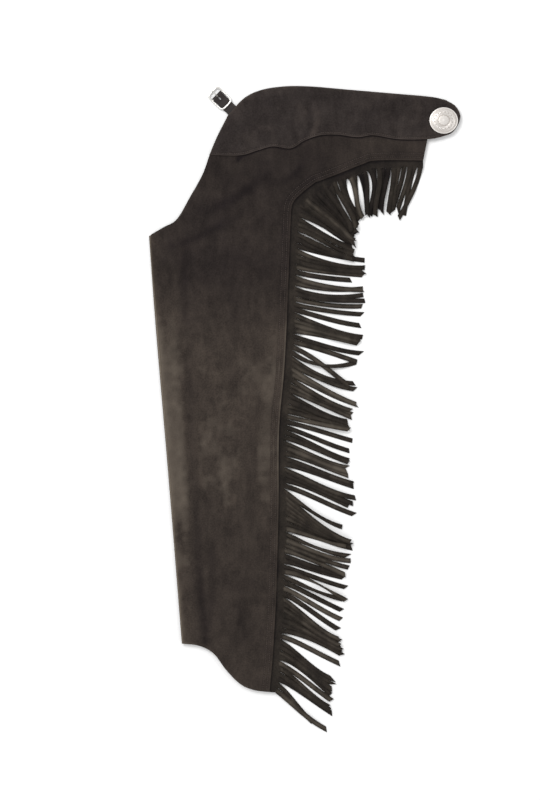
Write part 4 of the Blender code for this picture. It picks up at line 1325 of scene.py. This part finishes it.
@dataclass
class Buckle:
    """The waist strap's buckle: frame with centre bar, prong, and the strap doubled round the bar.

    Its own axes are +X outward along the strap, +Y along the bar and +Z up.
    """

    bar_mm: tuple[float, float, float] = (-156.9, 562.0, 3.6)
    turn_deg: float = 136.0
    bar_radius_mm: float = 1.3
    rail_radius_mm: float = 1.75
    rail_flat: float = 0.74
    outer_mm: float = 11.1
    inner_mm: float = -23.6
    half_width_mm: float = 12.65
    corner_mm: float = 5.2
    arch_mm: float = 1.8
    bow_mm: float = 1.3
    strap_width_mm: float = 20.6
    strap_end_mm: float = -51.0
    closes_mm: float = -13.0
    slot_mm: float = 9.0
    slot_width_mm: float = 2.7
    prong_radius_mm: float = 0.95
    prong_tip_mm: float = 13.4

    def placed(self, points: np.ndarray) -> np.ndarray:
        """Points in millimetres on the buckle's axes, turned about Z and moved to the bar, in metres."""
        c, s = math.cos(math.radians(self.turn_deg)), math.sin(math.radians(self.turn_deg))
        turn = np.array([[c, s, 0], [-s, c, 0], [0, 0, 1]])
        return (points @ turn + np.array(self.bar_mm)) * MM

    def frame_path(self) -> np.ndarray:
        """Centre line of the frame: a rounded rectangle, its ends bowed outward.

        The bow is 1.3 (1 - (y / half width)^2) mm at the inner end and half that at the outer end, and the
        height is arch times x over the inner end's x.

        Returns:
            Points in millimetres on the buckle's axes.
        """
        half, corner = self.half_width_mm, self.corner_mm
        corners = (
            (self.outer_mm - corner, half - corner, 0), (self.inner_mm + corner, half - corner, 90),
            (self.inner_mm + corner, corner - half, 180), (self.outer_mm - corner, corner - half, 270),
        )
        arcs = []
        for x, y, start in corners:
            a = np.radians(start + np.linspace(0, 90, 12))
            arcs.append(np.stack([x + corner * np.cos(a), y + corner * np.sin(a)], axis=1))
        ring = np.vstack([*arcs, arcs[0][:1]])
        plan = at_fractions(ring, np.linspace(0, 1, 145))[:-1]
        bulge = self.bow_mm * (1 - (plan[:, 1] / half) ** 2)
        inner = bulge * eased((self.inner_mm + 7 - plan[:, 0]) / 6)
        outer = 0.5 * bulge * (plan[:, 0] > self.outer_mm - 2)
        plan[:, 0] -= inner - outer
        return np.column_stack([plan, self.arch_mm * np.clip(plan[:, 0] / self.inner_mm, 0, 1)])

    def build_frame(self) -> bpy.types.Object:
        """The frame: a flattened bar swelling at the outer end, with a dip there for the prong.

        Returns:
            The piece, riding on the buckle's body.
        """
        path = self.frame_path()
        ends = np.exp(-((path[:, 0] - self.outer_mm) / 3.0) ** 2)
        dip = np.exp(-((path[:, 1] / 1.6) ** 2)) * (path[:, 0] > 0)
        radius = self.rail_radius_mm * (0.94 + 0.1 * ends) * (1 - 0.16 * dip)
        points, faces = tube(path, radius, 20, True, flat=self.rail_flat)
        bar_y = np.linspace(-self.half_width_mm, self.half_width_mm, 22)
        neck = self.bar_radius_mm * (1 - 0.1 * np.exp(-((np.abs(bar_y) - 11.2) / 0.7) ** 2))
        bar, bar_faces = tube(np.column_stack([bar_y * 0, bar_y, bar_y * 0]), neck, 16, False)
        count = points.shape[0] * points.shape[1]
        everything = np.vstack([points.reshape(-1, 3), bar.reshape(-1, 3)])
        # Painted shade: the frame's rail is darker toward its underside, and the centre bar inside the strap
        # is darker all along.
        sunk = np.concatenate([np.clip(0.25 - points[..., 2].ravel() / 4, 0, 1) * 0.5,
                               np.full(bar[..., 0].size, 0.35)])
        piece = make_mesh("frame_nickel", self.placed(everything),
                          [*faces, *(f + count for f in bar_faces)], sunk)
        settle(piece, NICKEL, Body.BUCKLE, ["buckle_frame"])
        return piece

    def build_prong(self) -> bpy.types.Object:
        """The prong: a wire hooked round the bar, then straight to a blunt tip on the frame's outer end.

        Returns:
            The piece, riding on the prong's body.
        """
        ring = self.bar_radius_mm + 0.3 + self.prong_radius_mm
        a = np.radians(np.linspace(325, 90, 30))
        rest = self.rail_radius_mm * self.rail_flat + 0.25 + self.prong_radius_mm
        shank_x = np.linspace(1.0, self.prong_tip_mm, 24)
        shank_z = ring + (rest - ring) * eased(shank_x / (self.outer_mm - 2))
        path = np.vstack([np.column_stack([ring * np.cos(a), ring * np.sin(a)]),
                          np.column_stack([shank_x, shank_z])])
        path = np.column_stack([path[:, 0], path[:, 0] * 0, path[:, 1]])
        share = np.linspace(0, 1, len(path))
        blunt = np.sqrt(np.clip(1 - ((share - 0.5) / 0.505) ** 24, 0.05, 1))
        radius = self.prong_radius_mm * blunt * (1 - 0.12 * share)
        points, faces = tube(path, radius, 14, False)
        # Painted shade: the hook that wraps the bar inside the strap's fold is darker than the shank.
        sunk = 0.12 + 0.88 * eased((3.4 - points[..., 0].ravel()) / 0.8)
        piece = make_mesh("prong_nickel", self.placed(points.reshape(-1, 3)), faces, sunk)
        settle(piece, NICKEL, Body.PRONG, ["buckle_prong"])
        return piece

    def strap_profile(self, columns_at: np.ndarray) -> np.ndarray:
        """The strap's middle along its length, out over the bar and back: x and z in millimetres.

        Round the bar it is a half circle of the bar's radius and half the leather; on the way in it settles.

        Args:
            columns_at: stations along the strap in millimetres, 0 at the bar and below 0 toward the waist.

        Returns:
            x and z in millimetres, out along the upper layer and back along the lower.
        """
        loop = self.bar_radius_mm + 0.35 + STRAP_SKIN / MM / 2
        low = -self.bar_mm[2] + 0.25 + STRAP_SKIN / MM / 2
        high = low + STRAP_SKIN / MM + 0.6
        a = np.radians(np.linspace(0, 180, 19))
        upper = np.column_stack([columns_at,
                                 high + (loop - high) * eased((columns_at - self.closes_mm) / 13.0)])
        arc = np.column_stack([loop * np.sin(a), loop * np.cos(a)])
        back = columns_at[::-1]
        lower = np.column_stack([back, low + (-loop - low) * eased((back - self.closes_mm) / 13.0)])
        return np.vstack([upper, arc[1:-1], lower])

    def build_strap(self) -> bpy.types.Object:
        """The doubled strap: its profile carried across its width, open at the slot for the prong.

        Returns:
            The piece, standing for the strap's solid.
        """
        at = np.linspace(self.strap_end_mm, 0, 46)
        profile = self.strap_profile(at)
        half, gap = self.strap_width_mm / 2, self.slot_width_mm / 2
        across = np.concatenate([np.linspace(-half, -gap, 9), np.linspace(gap, half, 9)])
        crown = 0.25 * (1 - (across / half) ** 2)
        points = np.stack([np.column_stack([np.full(len(across), x), across,
                                            z + crown * (0.4 if z > 0 else 0.1)])
                           for x, z in profile])
        rows, columns = points.shape[:2]
        quads = grid_quads(rows, columns).reshape(rows - 1, columns - 1, 4)
        middle = (profile[:-1, 0] + profile[1:, 0]) / 2
        keep = np.ones((rows - 1, columns - 1), dtype=bool)
        keep[middle > -self.slot_mm, 8] = False
        edge = half - np.abs(points[..., 1])
        wear_and_painted_light = 0.5 * np.exp(-edge / 0.9).ravel()
        piece = make_mesh("strap_doubled", self.placed(points.reshape(-1, 3)), [quads[keep][:, ::-1]], wear_and_painted_light)
        give_wall(piece, STRAP_SKIN)
        settle(piece, STRAP_LEATHER, Body.CHAPS, ["buckle_strap"])
        return piece

    def strap_stitches(self, stitching: Stitching) -> bpy.types.Object:
        """Two rows of stitches that close the strap's fold, from the bar's side in to the waist.

        Args:
            stitching: the maker of stitches.

        Returns:
            The rows as one piece.
        """
        x = np.arange(-46.0, -14.5, stitching.pitch_mm)
        at = np.linspace(self.strap_end_mm, 0, 46)
        z = np.interp(x, at, self.strap_profile(at)[:46, 1])
        rows = [np.column_stack([x, np.full(len(x), y), z + STRAP_SKIN / MM / 2 + 0.12]) for y in (-8.0, 8.0)]
        centres = self.placed(np.vstack(rows))
        way = self.placed(np.array([[1.0, 0, 0]])) - self.placed(np.zeros((1, 3)))
        ways = np.repeat(way / np.linalg.norm(way), len(centres), axis=0)
        return stitching.build("strap_stitches", centres, ways, Slot.STRAP)


@dataclass
class Concho:
    """The concho at the centre back: a struck oval disc with a rope edge, beads, scrolls and a boss.

    The places of the rings are shares of the radius.
    """

    place_mm: tuple[float, float] = (249.6, 516.6)
    radius_mm: float = 25.5
    oval: float = 0.925
    dome_mm: float = 3.2
    wall_mm: float = 1.4
    rings: int = 96
    spokes: int = 288
    rope_at: float = 0.955
    cord_at: float = 0.915
    beads_at: float = 0.875
    scrolls_from: float = 0.42
    scrolls_to: float = 0.85
    boss_to: float = 0.38

    def relief(self, r: np.ndarray, a: np.ndarray) -> np.ndarray:
        """Height of the engraving in millimetres at a share of the radius and an angle.

        The rope edge is sin(72 a + 60 r) over a ridge, and the beads are sin(30 a) squared over a ridge. The
        boss fills r under 0.38 (1 + 0.1 |cos(6 a)|), with twelve faint veins. Between them run scrolls, lines
        of constant sin(8 a + 5 sin(11 (r - 0.5))).

        Args:
            r: shares of the radius.
            a: angles in radians.

        Returns:
            Heights in millimetres.
        """
        rope = np.exp(-(((r - self.rope_at) / 0.02) ** 2)) * (0.42 + 0.14 * np.sin(72 * a + 60 * r))
        beads = np.exp(-(((r - self.beads_at) / 0.02) ** 2)) * 0.36 * np.sin(30 * a) ** 2
        cord = np.exp(-(((r - self.cord_at) / 0.01) ** 2)) * 0.16
        boss_edge = self.boss_to * (1 + 0.1 * np.abs(np.cos(6 * a)))
        boss = 0.26 * eased((boss_edge - r) / 0.08)
        vein_lines = np.exp(-((np.cos(6 * a) / 0.12) ** 2))
        veins = -0.05 * vein_lines * eased((boss_edge - r) / 0.06) * eased(r / 0.2)
        button = 0.12 * np.sqrt(np.clip(1 - (r / 0.1) ** 2, 0, 1))
        band = eased((r - self.scrolls_from) / 0.04) * eased((self.scrolls_to - r) / 0.03)
        scroll = np.sin(8 * a + 5.0 * np.sin(11 * (r - 0.5)))
        leaves = 0.4 * band * eased((np.abs(scroll) - 0.3) / 0.4) * (0.8 + 0.2 * np.sin(3 * a + 21 * r))
        stipple = 0.05 * band * np.sin(140 * a) * np.sin(260 * r)
        return rope + beads + cord + boss + veins + button + leaves + stipple

    def build(self, pile: Pile) -> bpy.types.Object:
        """Turns the dome's profile and adds the relief, then closes it with its rim and hollow underside.

        The dome's height goes as dome (1 - (r / 0.985)^2), and the whole is squeezed along Y to the oval.

        Args:
            pile: the shared height field.

        Returns:
            The closed piece, standing for the solid concho.
        """
        centre = np.array(self.place_mm) * MM
        angles = np.linspace(0, 2 * np.pi, self.spokes, endpoint=False)
        edge = centre + self.radius_mm * MM * np.column_stack([np.cos(angles), self.oval * np.sin(angles)])
        seat = max(float(pile.yoke(edge).max()), float(pile.yoke(centre[None])[0]) - self.dome_mm * 0.9 * MM)
        seat += YOKE_SKIN + GAP
        r = np.concatenate([np.linspace(0.012, 0.975, self.rings)])
        spread, turn = np.meshgrid(r, angles, indexing="ij")
        dome = 0.93 * self.dome_mm * (1 - (spread / 0.985) ** 2) * 0.9
        relief = self.relief(spread, turn)
        top = dome + self.wall_mm * 0.78 + relief * 0.8 - 0.25
        rim_r = np.array([0.99, 1.0, 1.0, 0.99])
        rim_z = np.array([1.15, 0.95, 0.45, 0.15])
        under_r = np.array([0.95, 0.8, 0.6, 0.4, 0.2, 0.02])
        under_z = 0.15 + 0.8 * self.dome_mm * (1 - (under_r / 0.95) ** 2)
        radii = np.concatenate([r, rim_r, under_r])
        heights = np.vstack([top, *(np.full((1, self.spokes), z) for z in (*rim_z, *under_z))])
        flat = radii[:, None] * self.radius_mm
        points = np.stack([flat * np.cos(angles), flat * self.oval * np.sin(angles), heights], axis=-1)
        low = np.clip(0.85 - relief * 1.7, 0, 1) * (0.35 + 0.65 * eased((0.985 - spread) / 0.05))
        sunk = np.vstack([low, np.full((len(radii) - len(r), self.spokes), 0.4)])
        points = points * MM + np.array([*centre, seat])
        index = np.arange(points[..., 0].size).reshape(points.shape[:2])
        sides = grid_quads(*points.shape[:2], closed=True)[:, ::-1]
        piece = make_mesh("concho_silver", points, [sides, index[:1], index[-1:, ::-1]], sunk)
        settle(piece, SILVER, Body.CHAPS, ["concho"])
        return piece


@dataclass
class Studio:
    """White sweep, even light from overhead with a soft key from the upper left, camera straight above."""

    look_at_mm: tuple[float, float] = (-62.1, 15.3)
    height: float = 3.0
    lens: float = 75.0
    sensor: float = 36.0
    surround: float = 0.92
    key_place: tuple[float, float, float] = (-1.5, 1.8, 3.0)
    key_size: float = 1.5
    key_power: float = 57.0

    def floor(self) -> None:
        """A broad flat sheet of matt white paper, a hair under the chaps."""
        side = np.linspace(-9, 9, 61)
        plan = np.stack(np.meshgrid(side, side), axis=-1)
        sheet = make_mesh("studio_floor", lifted(plan, -0.02 * MM), [grid_quads(61, 61)])
        paper = bpy.data.materials.new("matt_white_paper")
        paper.use_nodes = True
        shader = paper.node_tree.nodes["Principled BSDF"]
        shader.inputs["Base Color"].default_value = (0.95, 0.95, 0.95, 1)
        shader.inputs["Roughness"].default_value = 1.0
        shader.inputs["Specular IOR Level"].default_value = 0.0
        sheet.data.materials.append(paper)

    def lamp(self, name: str, place: tuple[float, float, float], size: float, power: float) -> None:
        """A square soft light that faces the middle of the chaps.

        Args:
            name: the light's name.
            place: where it stands, in metres.
            size: its side in metres.
            power: its power in watts.
        """
        light = bpy.data.lights.new(name, "AREA")
        light.size = size
        light.energy = power
        lamp = bpy.data.objects.new(name, light)
        lamp.location = place
        way = -np.array(place)
        flat = math.hypot(way[0], way[1])
        lamp.rotation_euler = (math.atan2(flat, -way[2]), 0.0, math.atan2(-way[0], way[1]) if flat > 1e-6
                               else 0.0)
        bpy.context.scene.collection.objects.link(lamp)

    def build(self) -> None:
        """Sets the floor, the lights, the white surround and the camera."""
        self.floor()
        world = bpy.data.worlds.new("white_surround")
        world.use_nodes = True
        world.node_tree.nodes["Background"].inputs["Color"].default_value = (1.0, 1.0, 1.0, 1.0)
        world.node_tree.nodes["Background"].inputs["Strength"].default_value = self.surround
        bpy.context.scene.world = world
        self.lamp("key", self.key_place, self.key_size, self.key_power)
        camera = bpy.data.cameras.new("camera")
        camera.lens = self.lens
        camera.sensor_fit = "VERTICAL"
        camera.sensor_height = self.sensor
        camera.sensor_width = self.sensor
        camera.clip_end = 50.0
        eye = bpy.data.objects.new("camera", camera)
        eye.location = (*(np.array(self.look_at_mm) * MM), self.height)
        bpy.context.scene.collection.objects.link(eye)
        bpy.context.scene.camera = eye
        bpy.context.scene.view_settings.view_transform = "Standard"


def main() -> None:
    """Builds the chaps from the floor up, stitches them and sets the studio."""
    logging.basicConfig(level=logging.INFO, format="%(name)s: %(message)s")
    Studio().build()
    pile = Pile()
    SecondLeg().build(pile)
    fringe = Fringe().build(pile)
    leg = Leg()
    leg_piece, leg_panel = leg.build(pile)
    yoke = Yoke()
    yoke_piece, _ = yoke.build(pile)
    bpy.context.view_layer.update()
    stitching = Stitching()
    rows = [stitching.along(pile.fringed, row.inset_mm * MM, leg_piece) for row in leg_panel.rows_of_stitches]
    edge_rows = stitching.build("leg_stitches", *(np.vstack(part) for part in zip(*rows)), Slot.LEG)
    seam_row = stitching.along(smooth_line(YOKE_SEAM), yoke.stitch_inset_mm * MM, yoke_piece)
    seam_stitches = stitching.build("yoke_stitches", *seam_row, Slot.YOKE)
    buckle = Buckle()
    buckle.build_strap()
    buckle.strap_stitches(stitching)
    buckle.build_frame()
    buckle.build_prong()
    concho = Concho().build(pile)


if __name__ == "__main__":
    main()
